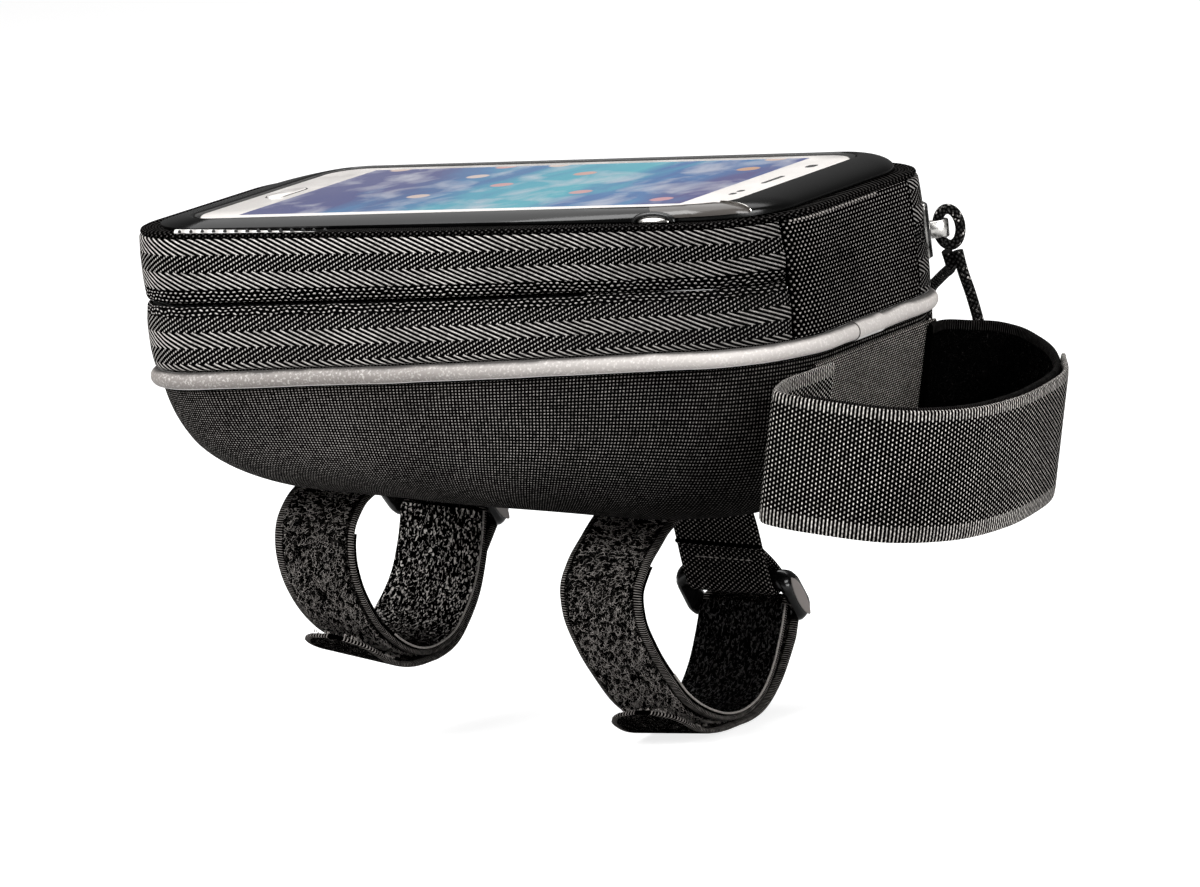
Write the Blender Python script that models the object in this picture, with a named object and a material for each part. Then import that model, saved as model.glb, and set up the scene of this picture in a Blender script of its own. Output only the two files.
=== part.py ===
"""Top tube phone bag: a moulded shell with a zipped lid that holds a phone
under a clear window, two straps for the top tube and one for the stem.

Metres, +Z up. +X points to the front of the bicycle, where the stem strap is.
The origin is the middle of the flat bottom that sits on the top tube.
The plane of the rim, where shell, piping and zip meet, is level.
"""

import math

import bmesh
import bpy
from mathutils import Vector

# Clearance between two solids that touch on the real bag.
gap = 0.0003

# Plan of the bag at the rim.
body_length = 0.1895
body_width = 0.098
corner_radius = 0.0245
side_bulge = 0.0023

# Heights above and below the rim plane, at mid length, and how they taper.
wall_height = 0.0317
wall_taper = -0.027
shell_depth = 0.0399
bottom_slope = 0.1116

# Moulded shell.
shell_wall = 0.003
shell_inset = 0.0015
rim_inner_inset = 0.006
stern_curve = 0.0287
end_draft = 0.25
end_round = 0.022
end_round_start = 0.32
side_draft = 0.14
side_round = 0.013
side_round_start = 0.55
bottom_corner_radius = 0.029

# Reflective piping round the rim, with one lapped joint at the front.
piping_radius = 0.0024
piping_inset = 0.0006
piping_lap_step = 0.0003
piping_lap_length = 0.012

# Zip.
tape_thickness = 0.001
zip_slit = 0.001
coil_width = 0.0024
coil_height = 0.0019
slider_angle = 31.0
slider_half_angle = 10.0
slider_height = 0.0134
slider_plate = 0.0012
slider_inner_height = 0.0084
slider_web = 0.0004
bridge_bevel = 0.0008
bridge_height = 0.0052
bridge_width = 0.004
bridge_leg = 0.0013
bridge_opening = 0.0042
end_stop_length = 0.003

# The gusset joins lid and body at the front and starts where the zip ends.
near_seam_angle = 62.0
gusset_thickness = 0.0012
free_tape_angle = 48.0
binding_width = 0.005

# Cord on the zip slider.
cord_diameter = 0.0028
knot_radius = 0.0034
hitch_slack = 0.001

# Lid.
border_thickness = 0.0012
border_inset = 0.0003
frame_margin_end = 0.0058
frame_margin_side = 0.0046
frame_corner_radius = 0.02
frame_rise = 0.0034
frame_lip = 0.0016
frame_foot = 0.0006
window_margin_end = 0.01775
window_margin_side = 0.008
window_length = body_length - 2 * window_margin_end
window_width = body_width - 2 * window_margin_side
window_corner_radius = 0.0105
film_thickness = 0.0006
film_sink = 0.0004
port_offset = 0.0595
port_width = 0.0092
port_height = 0.0034
port_depth = 0.0014
port_rim = 0.0012

# Phone in the lid's sleeve.
phone_rim = 0.0015
phone_length = window_length - 2 * phone_rim
phone_width = window_width - 2 * phone_rim
phone_thickness = 0.0079
phone_corner_radius = 0.0095
phone_edge_round = 0.002
display_margin_end = 0.01275
display_margin_side = 0.0045
display_length = phone_length - 2 * display_margin_end
display_width = phone_width - 2 * display_margin_side
display_depth = 0.0006
home_key_length = 0.0052
home_key_width = 0.0155
home_key_depth = 0.0005
sleeve_wall = 0.001
sleeve_rim_drop = 0.001

# Straps for the top tube: webbing with a rubber grip inside.
strap_width = 0.024
strap_thickness = 0.0014
grip_thickness = 0.0006
rear_strap_inset = 0.04075
front_strap_inset = 0.06375
rear_strap_x = rear_strap_inset - body_length / 2
front_strap_x = body_length / 2 - front_strap_inset
strap_step = 0.0035
strap_tip = 0.006
tip_margin = 0.4
rear_low_tilt = 0.23
front_low_tilt = 0.03
rear_stand_off = 0.0
front_stand_off = 0.0062
ring_pitch = 0.0116
ring_bar_radius = 0.0024
ring_corner = 0.0026
ring_end_swell = 0.45
ring_face_cut = 0.0008
rear_ring_place = (0.0335, 0.0130)
front_ring_place = (0.0320, 0.0305)
rear_ring_lean = 42.0
front_ring_lean = 35.0
hanger_root_y = 0.014
hanger_sewn = 0.006
hanger_return = 0.012
grip_start_drop = 0.009

# Strap for the stem, sewn to a patch on the front end.
end_strap_height = 0.032
end_strap_drop = 0.007
anchor_width = 0.066
anchor_thickness = 0.0012
hook_thickness = 0.0015
pile_thickness = 0.0018
end_loop_reach = 0.0497
end_loop_half_span = 0.0535
end_loop_offset = -0.0095
end_strap_sewn = 0.006
end_strap_step = 0.004

# Number of flats along each stretch of the rim.
arc_flats = 9
side_flats = 10
end_flats = 3

half_length = body_length / 2
half_width = body_width / 2
shell_top = -gap
ledge_z = -2 * piping_radius - gap
shell_flange_inset = piping_inset + piping_radius + 0.0004


def clear_scene():
    for old in list(bpy.data.objects):
        bpy.data.objects.remove(old, do_unlink=True)


def material(name, colour, roughness, metallic=0.0, alpha=1.0):
    """A Principled material; colour is linear RGB."""
    made = bpy.data.materials.new(name)
    made.use_nodes = True
    shader = made.node_tree.nodes["Principled BSDF"]
    shader.inputs["Base Color"].default_value = (*colour, 1.0)
    shader.inputs["Roughness"].default_value = roughness
    shader.inputs["Metallic"].default_value = metallic
    shader.inputs["Alpha"].default_value = alpha
    return made


def solid_from(name, verts, faces, finish, parent=None, smooth=40.0):
    """One closed mesh object whose origin is its parent's, or the world's."""
    base = parent.location if parent else Vector((0, 0, 0))
    mesh = bpy.data.meshes.new(name)
    mesh.from_pydata([Vector(v) - base for v in verts], [], faces)
    shape = bmesh.new()
    shape.from_mesh(mesh)
    bmesh.ops.recalc_face_normals(shape, faces=shape.faces)
    shape.to_mesh(mesh)
    shape.free()
    mesh.shade_smooth()
    mesh.set_sharp_from_angle(angle=math.radians(smooth))
    mesh.materials.append(finish)
    made = bpy.data.objects.new(name, mesh)
    bpy.context.scene.collection.objects.link(made)
    made.parent = parent
    return made


def sweep(name, stations, finish, closed=False, parent=None, smooth=40.0):
    """Skins a run of equal loops; open runs are capped at both ends."""
    count = len(stations[0])
    verts = [point for loop in stations for point in loop]
    faces = []
    last = len(stations) if closed else len(stations) - 1
    for i in range(last):
        a = i * count
        b = ((i + 1) % len(stations)) * count
        for j in range(count):
            k = (j + 1) % count
            faces.append((a + j, a + k, b + k, b + j))
    if not closed:
        faces.append(tuple(range(count))[::-1])
        start = (len(stations) - 1) * count
        faces.append(tuple(range(start, start + count)))
    return solid_from(name, verts, faces, finish, parent, smooth)


def outline_point(s, left, right, width, radius, bulge):
    """A point on a rounded rectangle whose long sides bulge.

    s runs from 0 to 8, counter-clockwise from the start of the front far
    corner: even steps are corners and odd steps are the straight stretches.
    """
    step = int(s) % 8
    t = s - int(s)
    ax = right - radius
    bx = left + radius
    y = width - radius
    if step % 2 == 0:
        cx = ax if step in (0, 6) else bx
        cy = y if step in (0, 2) else -y
        turn = math.radians(90 * (step / 2 + t))
        return cx + radius * math.cos(turn), cy + radius * math.sin(turn)
    if step in (3, 7):
        along = y * (1 - 2 * t)
        return (left, along) if step == 3 else (right, -along)
    x = ax + (bx - ax) * t if step == 1 else bx + (ax - bx) * t
    mid = (ax + bx) / 2
    swell = bulge * math.cos(math.pi * (x - mid) / (ax - bx)) ** 2
    return (x, width + swell) if step == 1 else (x, -width - swell)


def rim_point(s, inset):
    """A point of the rim's outline, moved inwards by inset."""
    return outline_point(
        s,
        -half_length + inset,
        half_length - inset,
        half_width - inset,
        corner_radius - inset,
        side_bulge,
    )


def run(start, end):
    """Values of s from start to end, with the flats each stretch is given."""
    values = [start]
    step = math.floor(start)
    while step < end:
        flats = arc_flats if step % 2 == 0 else side_flats
        if step % 8 in (3, 7):
            flats = end_flats
        for i in range(flats + 1):
            s = step + i / flats
            if start + 1e-6 < s < end - 1e-6 and s - values[-1] > 1e-4:
                values.append(s)
        step += 1
    values.append(end)
    return values


def full_turn():
    return run(0, 8)[:-1]


def wall_top(x):
    return wall_height + wall_taper * x


def slit_z(x):
    return wall_top(x) / 2


def bottom_z(x):
    return -(shell_depth + bottom_slope * x)


origin_z = shell_depth


def world(x, y, z):
    """From heights above the rim plane to heights above the tube seat."""
    return Vector((x, y, z + origin_z))


def wall_strip(name, start, end, inset, thickness, low, high, finish, parent=None):
    """A strip that stands on the rim; low and high give its edges from x."""
    stations = []
    for s in run(start, end):
        outer = rim_point(s, inset)
        inner = rim_point(s, inset + thickness)
        x = outer[0]
        stations.append(
            [
                world(*outer, low(x)),
                world(*inner, low(x)),
                world(*inner, high(x)),
                world(*outer, high(x)),
            ]
        )
    return sweep(name, stations, finish, parent=parent)


def quarter(t, start):
    """0 until start, then a quarter of an ellipse up to 1."""
    if t <= start:
        return 0.0
    return 1 - math.sqrt(max(0.0, 1 - ((t - start) / (1 - start)) ** 2))


def shell_section(g, extra, lift):
    """One loop of the shell: g is 0 at the ledge and 1 at the bottom."""
    left = shell_inset + stern_curve * quarter(g, 0.0)
    end_fall = ledge_z - bottom_z(half_length)
    side_fall = ledge_z - bottom_z(0)
    right = shell_inset + end_draft * g * end_fall + end_round * quarter(g, end_round_start)
    side = shell_inset + side_draft * g * side_fall + side_round * quarter(g, side_round_start)
    radius = corner_radius - shell_inset + (bottom_corner_radius - corner_radius) * g - extra
    least = rim_inner_inset if extra > 0 else 0.0
    left, right, side = [max(inset + extra, least) for inset in (left, right, side)]
    loop = []
    for s in full_turn():
        x, y = outline_point(
            s,
            -half_length + left,
            half_length - right,
            half_width - side,
            min(radius, half_width - side - 0.002),
            side_bulge * (1 - g / 2),
        )
        z = ledge_z + g * (bottom_z(x) + lift - ledge_z)
        loop.append(world(x, y, z))
    return loop


def base_shell(finish):
    """The moulded tray: one loft down the inside, over the rim and down the outside."""
    steps = [0.0, 0.16, 0.32, 0.46, 0.6, 0.72, 0.82, 0.9, 0.96, 1.0]
    loops = [shell_section(g, shell_wall, shell_wall) for g in reversed(steps)]
    turn = full_turn()
    loops.append([world(*rim_point(s, rim_inner_inset), shell_top) for s in turn])
    loops.append([world(*rim_point(s, shell_flange_inset), shell_top) for s in turn])
    loops.append([world(*rim_point(s, shell_flange_inset), ledge_z) for s in turn])
    loops += [shell_section(g, 0.0, 0.0) for g in steps]
    return sweep("base_shell", loops, finish)


def rim_piping(finish):
    """A round bead along the rim; its end laps over its start with a small step."""
    perimeter_front = body_width - 2 * corner_radius
    lap = piping_lap_length / perimeter_front
    joint = 7.5
    values = [joint - lap, joint - 1e-3] + [s for s in run(joint, joint + 8)][:-1]
    values = [s for s in values if s <= joint + 8 - lap - 0.02]
    stations = []
    for s in values:
        radius = piping_radius - (piping_lap_step if s < joint else 0.0)
        stations.append(piping_loop(s % 8, radius))
    return sweep("rim_piping", stations, finish, closed=True)


def piping_loop(s, radius):
    outer = Vector(rim_point(s, 0.0))
    inner = Vector(rim_point(s, 0.001))
    outward = (outer - inner).normalized()
    centre = Vector(rim_point(s, piping_inset))
    loop = []
    for i in range(10):
        turn = math.radians(36 * i)
        flat = centre + outward * radius * math.cos(turn)
        loop.append(world(flat.x, flat.y, -piping_radius + radius * math.sin(turn)))
    return loop


def seam_steps(length):
    """How far s moves along a corner for a length measured on the wall."""
    return length / (corner_radius * math.pi / 2)


near_seam = 6 + (90 - near_seam_angle) / 90
free_tape = free_tape_angle / 90


def zip_pieces(base, lid, tape, coil, metal):
    """Both tapes, both coils and the end stops."""
    edge = seam_steps(gap / 2)
    half_slit = zip_slit / 2

    def coil_low(x):
        return slit_z(x) - half_slit - coil_height

    def lower_edge(x):
        return slit_z(x) - half_slit

    def upper_edge(x):
        return slit_z(x) + half_slit

    def under_lid(x):
        return wall_top(x) - gap

    def coil_high(x):
        return slit_z(x) + half_slit + coil_height

    coil_inset = tape_thickness + gap
    wall_strip("lower_zip_tape", edge, near_seam - edge, 0.0, tape_thickness,
               lambda x: gap, lower_edge, tape, base)
    wall_strip("upper_zip_tape", free_tape + edge, near_seam - edge, 0.0, tape_thickness,
               upper_edge, under_lid, tape, lid)
    wall_strip("free_tape_end", edge, free_tape - edge, 0.0, tape_thickness,
               upper_edge, under_lid, tape, base)
    stop = seam_steps(end_stop_length)
    wall_strip("lower_zip_coil", stop + edge, near_seam - stop - edge, coil_inset, coil_width,
               coil_low, lower_edge, coil, base)
    wall_strip("upper_zip_coil", free_tape + edge, near_seam - stop - edge, coil_inset, coil_width,
               upper_edge, coil_high, coil, lid)
    wall_strip("free_coil_end", stop + edge, free_tape - edge, coil_inset, coil_width,
               upper_edge, coil_high, coil, base)
    wall_strip("zip_stop_far", 2 * edge, stop - edge, coil_inset, coil_width,
               coil_low, coil_high, metal, base)
    wall_strip("zip_stop_near", near_seam - stop + edge, near_seam - 3 * edge, coil_inset, coil_width,
               coil_low, lower_edge, metal, base)


def gusset_pieces(base, cloth, tape):
    """The panel that lets the lid fold open, and the binding over its two seams."""
    edge = seam_steps(gap / 2)
    width = seam_steps(binding_width)
    wall_strip("front_gusset", near_seam + edge, 8 - edge, 0.0, gusset_thickness,
               lambda x: gap, lambda x: wall_top(x) - gap, cloth, base)
    inside = gusset_thickness + gap
    wall_strip("gusset_binding_near", near_seam + 2 * edge, near_seam + width, inside,
               gusset_thickness, lambda x: gap, lambda x: wall_top(x) - 2 * gap, tape, base)
    front = body_width - 2 * corner_radius
    wall_strip("gusset_binding_far", 8 - binding_width / front, 8 - gap / front, inside,
               gusset_thickness, lambda x: gap, lambda x: wall_top(x) - 2 * gap, tape, base)


def corner_frame():
    """Centre of the front far corner, where the zip slider turns."""
    return Vector((half_length - corner_radius, half_width - corner_radius, 0))


def slider_place(radius, across, z):
    """A point beside the slider: distance from the corner centre, distance
    along the zip and height above the slit."""
    centre = corner_frame()
    turn = math.radians(slider_angle)
    outward = Vector((math.cos(turn), math.sin(turn), 0))
    along = Vector((-math.sin(turn), math.cos(turn), 0))
    flat = centre + outward * radius + along * across
    return world(flat.x, flat.y, slit_z(flat_slit_x()) + z)


def flat_slit_x():
    turn = math.radians(slider_angle)
    return corner_frame().x + corner_radius * math.cos(turn)


plate_inner_radius = corner_radius + gap
plate_outer_radius = plate_inner_radius + slider_plate
wing_outer_radius = corner_radius - tape_thickness - coil_width - 2 * gap
wing_inner_radius = wing_outer_radius - slider_plate
bridge_root = plate_outer_radius + gap
bridge_top = bridge_root + bridge_height
bridge_inside = bridge_top - 1.15 * bridge_leg


def slider_body(finish, parent):
    """Outer plate, a web through the slit and an inner plate, turned about the corner."""
    half = slider_height / 2
    wing = slider_inner_height / 2
    web = slider_web / 2
    profile = [
        (plate_outer_radius, -half),
        (plate_outer_radius, half),
        (plate_inner_radius, half),
        (plate_inner_radius, web),
        (wing_outer_radius, web),
        (wing_outer_radius, wing),
        (wing_inner_radius, wing),
        (wing_inner_radius, -wing),
        (wing_outer_radius, -wing),
        (wing_outer_radius, -web),
        (plate_inner_radius, -web),
        (plate_inner_radius, -half),
    ]
    centre = corner_frame()
    level = slit_z(flat_slit_x())
    stations = []
    flats = 8
    for i in range(flats + 1):
        turn = math.radians(slider_angle + slider_half_angle * (2 * i / flats - 1))
        stations.append(
            [
                world(centre.x + r * math.cos(turn), centre.y + r * math.sin(turn), level + z)
                for r, z in profile
            ]
        )
    return sweep("zip_slider", stations, finish, parent=parent, smooth=25)


def slider_bridge(finish, parent):
    """The bail that stands out of the slider and carries the cord."""
    inner = bridge_opening / 2
    outer = inner + bridge_leg
    side = [
        (bridge_root, -outer),
        (bridge_top - bridge_bevel, -outer),
        (bridge_top, -outer + bridge_bevel),
        (bridge_top, outer - bridge_bevel),
        (bridge_top - bridge_bevel, outer),
        (bridge_root, outer),
        (bridge_root, inner),
        (bridge_inside, inner),
        (bridge_inside, -inner),
        (bridge_root, -inner),
    ]
    half = bridge_width / 2
    stations = [[slider_place(r, a, z) for r, a in side] for z in (-half, half)]
    return sweep("slider_bridge", stations, finish, parent=parent, smooth=25)


def tube_along(path, radius, sides, closed=False):
    """Loops of a round tube along points, turned as little as possible."""
    loops = []
    count = len(path)
    previous = None
    for i, point in enumerate(path):
        ahead = path[(i + 1) % count] if closed or i < count - 1 else point
        behind = path[i - 1] if closed or i > 0 else point
        direction = (ahead - behind).normalized()
        if previous is None:
            guide = Vector((0, 0, 1)) if abs(direction.z) < 0.9 else Vector((1, 0, 0))
            across = direction.cross(guide).normalized()
        else:
            across = (previous - direction * previous.dot(direction)).normalized()
        previous = across
        up = direction.cross(across)
        thick = radius[i] if isinstance(radius, list) else radius
        loops.append(
            [
                point + (across * math.cos(2 * math.pi * k / sides) + up * math.sin(2 * math.pi * k / sides)) * thick
                for k in range(sides)
            ]
        )
    return loops


def cord_hitch(finish, parent):
    """The turn of cord round the bridge."""
    thick = cord_diameter / 2
    inner = bridge_root + thick + gap
    outer = bridge_top + thick + hitch_slack
    centre = (inner + outer) / 2
    wide = (outer - inner) / 2
    tall = bridge_width / 2 + thick + hitch_slack
    path = []
    flats = 20
    for i in range(flats):
        turn = 2 * math.pi * i / flats
        path.append(slider_place(centre + wide * math.cos(turn), 0, tall * math.sin(turn)))
    return sweep("cord_hitch", tube_along(path, thick, 8, closed=True), finish, closed=True, parent=parent)


def smooth_route(points, spacing):
    """Points about spacing apart on a smooth curve through the given ones.

    Each point's tangent is weighted by the lengths on both sides of it, so that
    short and long stretches can meet without a loop.
    """
    last = len(points) - 1
    chords = [(points[i + 1] - points[i]).length for i in range(last)]
    slopes = [(points[i + 1] - points[i]) / chords[i] for i in range(last)]
    tangents = [slopes[0]]
    for i in range(1, last):
        before, after = chords[i - 1], chords[i]
        tangents.append((slopes[i - 1] * after + slopes[i] * before) / (before + after))
    tangents.append(slopes[-1])
    route = []
    for i in range(last):
        pieces = max(1, round(chords[i] / spacing))
        for k in range(pieces):
            t = k / pieces
            lean_start = t * (1 - t) ** 2 * chords[i]
            lean_end = t * t * (t - 1) * chords[i]
            near_start = 1 - t * t * (3 - 2 * t)
            route.append(
                points[i] * near_start
                + points[i + 1] * (1 - near_start)
                + tangents[i] * lean_start
                + tangents[i + 1] * lean_end
            )
    route.append(points[-1])
    return route


# The two hanging strands of the zip cord, as points above the rim plane.
cord_route_front = [
    (0.09816, 0.04057, 0.00847),
    (0.09850, 0.04140, 0.00350),
    (0.09870, 0.04380, -0.00250),
    (0.09830, 0.04720, -0.01000),
    (0.09740, 0.05060, -0.01800),
    (0.09580, 0.05360, -0.02700),
    (0.09350, 0.05560, -0.03400),
    (0.09130, 0.05662, -0.03680),
]
cord_route_rear = [
    (0.09516, 0.04051, 0.00847),
    (0.09500, 0.04200, 0.00560),
    (0.09320, 0.04540, 0.00360),
    (0.08960, 0.04920, 0.00180),
    (0.08520, 0.05320, -0.00060),
    (0.08160, 0.05610, -0.00290),
    (0.07940, 0.05760, -0.00620),
    (0.07820, 0.05840, -0.01200),
    (0.07820, 0.05870, -0.02000),
    (0.08000, 0.05860, -0.02800),
    (0.08330, 0.05810, -0.03440),
    (0.08550, 0.05770, -0.03680),
]
knot_place = (0.08850, 0.05730, -0.03900)


def cord_strand(name, route, finish, parent):
    """A plain round tube along the route, as a beveled curve."""
    curve = bpy.data.curves.new(name, "CURVE")
    curve.dimensions = "3D"
    curve.bevel_depth = cord_diameter / 2
    curve.bevel_resolution = 2
    curve.use_fill_caps = True
    points = smooth_route([world(*point) for point in route], 2.2 * cord_diameter)
    spline = curve.splines.new("POLY")
    spline.points.add(len(points) - 1)
    for slot, point in zip(spline.points, points):
        slot.co = (*(point - parent.location), 1.0)
    curve.materials.append(finish)
    made = bpy.data.objects.new(name, curve)
    bpy.context.scene.collection.objects.link(made)
    made.parent = parent
    return made


def cord_knot(finish, parent):
    """The two ends are tied together in one round knot."""
    mesh = bpy.data.meshes.new("cord_knot")
    shape = bmesh.new()
    bmesh.ops.create_icosphere(shape, subdivisions=2, radius=knot_radius)
    shape.to_mesh(mesh)
    shape.free()
    mesh.shade_smooth()
    mesh.materials.append(finish)
    made = bpy.data.objects.new("cord_knot", mesh)
    bpy.context.scene.collection.objects.link(made)
    made.parent = parent
    made.location = world(*knot_place) - parent.location
    return made


def rounded_loop(length, width, radius, z):
    """A rounded rectangle about the lid's middle, at a height above the wall's top."""
    loop = []
    for s in full_turn():
        x, y = outline_point(s, -length / 2, length / 2, width / 2, radius, 0.0)
        loop.append(world(x, y, wall_top(x) + z))
    return loop


def lid_border(finish, parent):
    """The sewn band of cloth between the zip tape and the moulded frame."""
    inner_length = phone_length + 4 * sleeve_wall + 4 * gap
    inner_width = phone_width + 4 * sleeve_wall + 4 * gap
    inner_radius = phone_corner_radius + 2 * sleeve_wall
    stations = []
    for s in full_turn():
        outer = rim_point(s, border_inset)
        inner = outline_point(s, -inner_length / 2, inner_length / 2, inner_width / 2, inner_radius, 0.0)
        stations.append(
            [
                world(*outer, wall_top(outer[0])),
                world(*inner, wall_top(inner[0])),
                world(*inner, wall_top(inner[0]) + border_thickness),
                world(*outer, wall_top(outer[0]) + border_thickness),
            ]
        )
    return sweep("lid_border", stations, finish, closed=True, parent=parent)


foot_z = border_thickness + gap
frame_top_z = foot_z + frame_rise
film_top_z = frame_top_z - film_sink
phone_top_z = film_top_z - film_thickness - gap


def lid_frame(finish, parent):
    """The moulded surround of the window: a rounded shoulder with a seat for the film."""
    foot_length = body_length - 2 * frame_margin_end
    foot_width = body_width - 2 * frame_margin_side
    flats = 6
    loops = []
    for i in range(flats + 1):
        turn = math.radians(90 * i / flats)
        share = 1 - math.cos(turn)
        length = foot_length + (window_length + 2 * frame_lip - foot_length) * share
        width = foot_width + (window_width + 2 * frame_lip - foot_width) * share
        radius = frame_corner_radius + (window_corner_radius - frame_corner_radius) * share
        loops.append(rounded_loop(length, width, radius, foot_z + frame_foot + (frame_rise - frame_foot) * math.sin(turn)))
    loops.append(rounded_loop(window_length, window_width, window_corner_radius, frame_top_z - gap))
    seat = film_top_z - film_thickness - gap
    loops.append(rounded_loop(window_length, window_width, window_corner_radius, seat))
    inner = phone_length + 4 * sleeve_wall + 2 * gap
    inner_w = phone_width + 4 * sleeve_wall + 2 * gap
    loops.append(rounded_loop(inner, inner_w, phone_corner_radius + 2 * sleeve_wall, seat))
    loops.append(rounded_loop(inner, inner_w, phone_corner_radius + 2 * sleeve_wall, foot_z))
    loops.append(rounded_loop(foot_length, foot_width, frame_corner_radius, foot_z))
    return sweep("lid_frame", loops, finish, closed=True, parent=parent)


def slab(name, length, width, radius, low, high, finish, parent):
    loops = [rounded_loop(length, width, radius, z) for z in (low, high)]
    return sweep(name, loops, finish, parent=parent)


def phone_sleeve(finish, parent):
    """An open tray of thin cloth that holds the phone up against the window."""
    low = phone_top_z - phone_thickness - gap
    inner_length = phone_length + 2 * sleeve_wall
    inner_width = phone_width + 2 * sleeve_wall
    radius = phone_corner_radius + sleeve_wall
    outer = (inner_length + 2 * sleeve_wall, inner_width + 2 * sleeve_wall, radius + sleeve_wall)
    rim = phone_top_z - sleeve_rim_drop
    loops = [
        rounded_loop(inner_length, inner_width, radius, low),
        rounded_loop(inner_length, inner_width, radius, rim),
        rounded_loop(*outer, rim),
        rounded_loop(*outer, low - sleeve_wall),
    ]
    return sweep("phone_sleeve", loops, finish, parent=parent)


home_key_x = -(phone_length + display_length) / 4


def phone_body(finish, parent):
    """A slab with rounded edges, a pocket for the display and one for the home key."""
    low = phone_top_z - phone_thickness
    round_off = phone_edge_round
    loops = []
    for share, z in ((1.0, 0.0), (0.3, 0.3), (0.0, 1.0)):
        cut = round_off * share
        loops.append(
            rounded_loop(phone_length - 2 * cut, phone_width - 2 * cut, phone_corner_radius - cut, low + round_off * z)
        )
    for share, z in ((0.0, 1.0), (0.3, 0.3), (1.0, 0.0)):
        cut = 0.5 * round_off * share
        loops.append(
            rounded_loop(phone_length - 2 * cut, phone_width - 2 * cut, phone_corner_radius - cut, phone_top_z - 0.5 * round_off * z)
        )
    pocket = (display_length + 2 * gap, display_width + 2 * gap, 0.0015)
    loops.append(rounded_loop(*pocket, phone_top_z))
    loops.append(rounded_loop(*pocket, phone_top_z - display_depth - gap))
    body = sweep("phone_body", loops, finish, parent=parent)
    cutter = key_shape("home_key_cutter", gap, phone_top_z - home_key_depth - gap, phone_top_z + 0.002, finish, parent)
    cutter.hide_render = True
    cutter.display_type = "WIRE"
    cut = body.modifiers.new("home_key_pocket", "BOOLEAN")
    cut.operation = "DIFFERENCE"
    cut.object = cutter
    return body


def key_shape(name, grow, low, high, finish, parent):
    length = home_key_length + 2 * grow
    width = home_key_width + 2 * grow
    radius = length / 2 - 0.0002
    loops = []
    for z in (low, high):
        loop = []
        for corner in range(4):
            for i in range(6):
                s = 2 * corner + i / 6
                x, y = outline_point(s, -length / 2, length / 2, width / 2, radius, 0.0)
                loop.append(world(home_key_x + x, y, wall_top(home_key_x + x) + z))
        loops.append(loop)
    return sweep(name, loops, finish, parent=parent)


def cable_port(rubber, metal, parent):
    """A half-round grommet in the near side of the lid, with its plug."""
    y = -(half_width + side_bulge * 0.1 - frame_margin_side) - gap - port_depth
    z = wall_top(port_offset) + border_thickness + gap

    def arch(half, height, low):
        points = []
        flats = 10
        for i in range(flats + 1):
            turn = math.pi * i / flats
            points.append((half * math.cos(turn), low + (height - low) * math.sin(turn)))
        return points

    outer = arch(port_width / 2, port_height, 0.0)
    inner = arch(port_width / 2 - port_rim, port_height - port_rim, 0.0)
    profile = outer + inner[::-1]
    stations = []
    for depth in (0.0, port_depth):
        stations.append(
            [world(port_offset + px, y + depth, z + pz + wall_taper * px) for px, pz in profile]
        )
    sweep("cable_port", stations, rubber, parent=parent)
    plug = arch(port_width / 2 - port_rim - gap, port_height - port_rim - gap, 0.0)
    stations = []
    for depth in (0.0004, port_depth):
        stations.append([world(port_offset + px, y + depth, z + pz + wall_taper * px) for px, pz in plug])
    sweep("cable_port_plug", stations, metal, parent=parent)


def band(name, path, thickness, place, finish, parent=None, tip=0.0):
    """A flat band: path is its middle line, place turns a point and a side into a position.

    Over the length tip before its last end the band narrows to a rounded end.
    """
    loops = []
    last = len(path) - 1
    left = [0.0]
    for i in range(last, 0, -1):
        left.append(left[-1] + (Vector(path[i]) - Vector(path[i - 1])).length)
    left.reverse()
    for i, (a, b) in enumerate(path):
        before = Vector(path[max(i - 1, 0)])
        after = Vector(path[min(i + 1, last)])
        direction = (after - before).normalized()
        normal = Vector((-direction.y, direction.x)) * thickness / 2
        one = (a + normal.x, b + normal.y)
        two = (a - normal.x, b - normal.y)
        margin = 0.0
        if left[i] < tip:
            margin = tip_margin * (1 - math.sqrt(1 - (1 - left[i] / tip) ** 2))
        sides = (margin, 1 - margin)
        loops.append([place(one, sides[0]), place(one, sides[1]), place(two, sides[1]), place(two, sides[0])])
    return sweep(name, loops, finish, parent=parent, smooth=50)


def offset_path(path, distance):
    """The path moved sideways to its right by distance."""
    moved = []
    last = len(path) - 1
    for i, (a, b) in enumerate(path):
        before = Vector(path[max(i - 1, 0)])
        after = Vector(path[min(i + 1, last)])
        direction = (after - before).normalized()
        moved.append((a + direction.y * distance, b - direction.x * distance))
    return moved


def smooth_path(points, spacing):
    lifted = [Vector((a, b, 0)) for a, b in points]
    return [(p.x, p.y) for p in smooth_route(lifted, spacing)]


# Middle lines of the two tube loops: how far across and how far below the root.
rear_loop = [
    (-0.0095, 0.0),
    (-0.0160, 0.0010),
    (-0.0240, 0.0040),
    (-0.0300, 0.0094),
    (-0.0315, 0.0151),
    (-0.0304, 0.0219),
    (-0.0265, 0.0292),
    (-0.0199, 0.0364),
    (-0.0120, 0.0417),
    (-0.0040, 0.0440),
    (0.0040, 0.0441),
    (0.0120, 0.0424),
    (0.0180, 0.0390),
    (0.0246, 0.0336),
    (0.0294, 0.0268),
]
front_loop = [
    (-0.0110, 0.0),
    (-0.0180, 0.0022),
    (-0.0262, 0.0062),
    (-0.0345, 0.0110),
    (-0.0392, 0.0160),
    (-0.0395, 0.0221),
    (-0.0350, 0.0314),
    (-0.0274, 0.0408),
    (-0.0185, 0.0492),
    (-0.0080, 0.0544),
    (0.0030, 0.0560),
    (0.0130, 0.0542),
    (0.0218, 0.0482),
    (0.0274, 0.0415),
]


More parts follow.
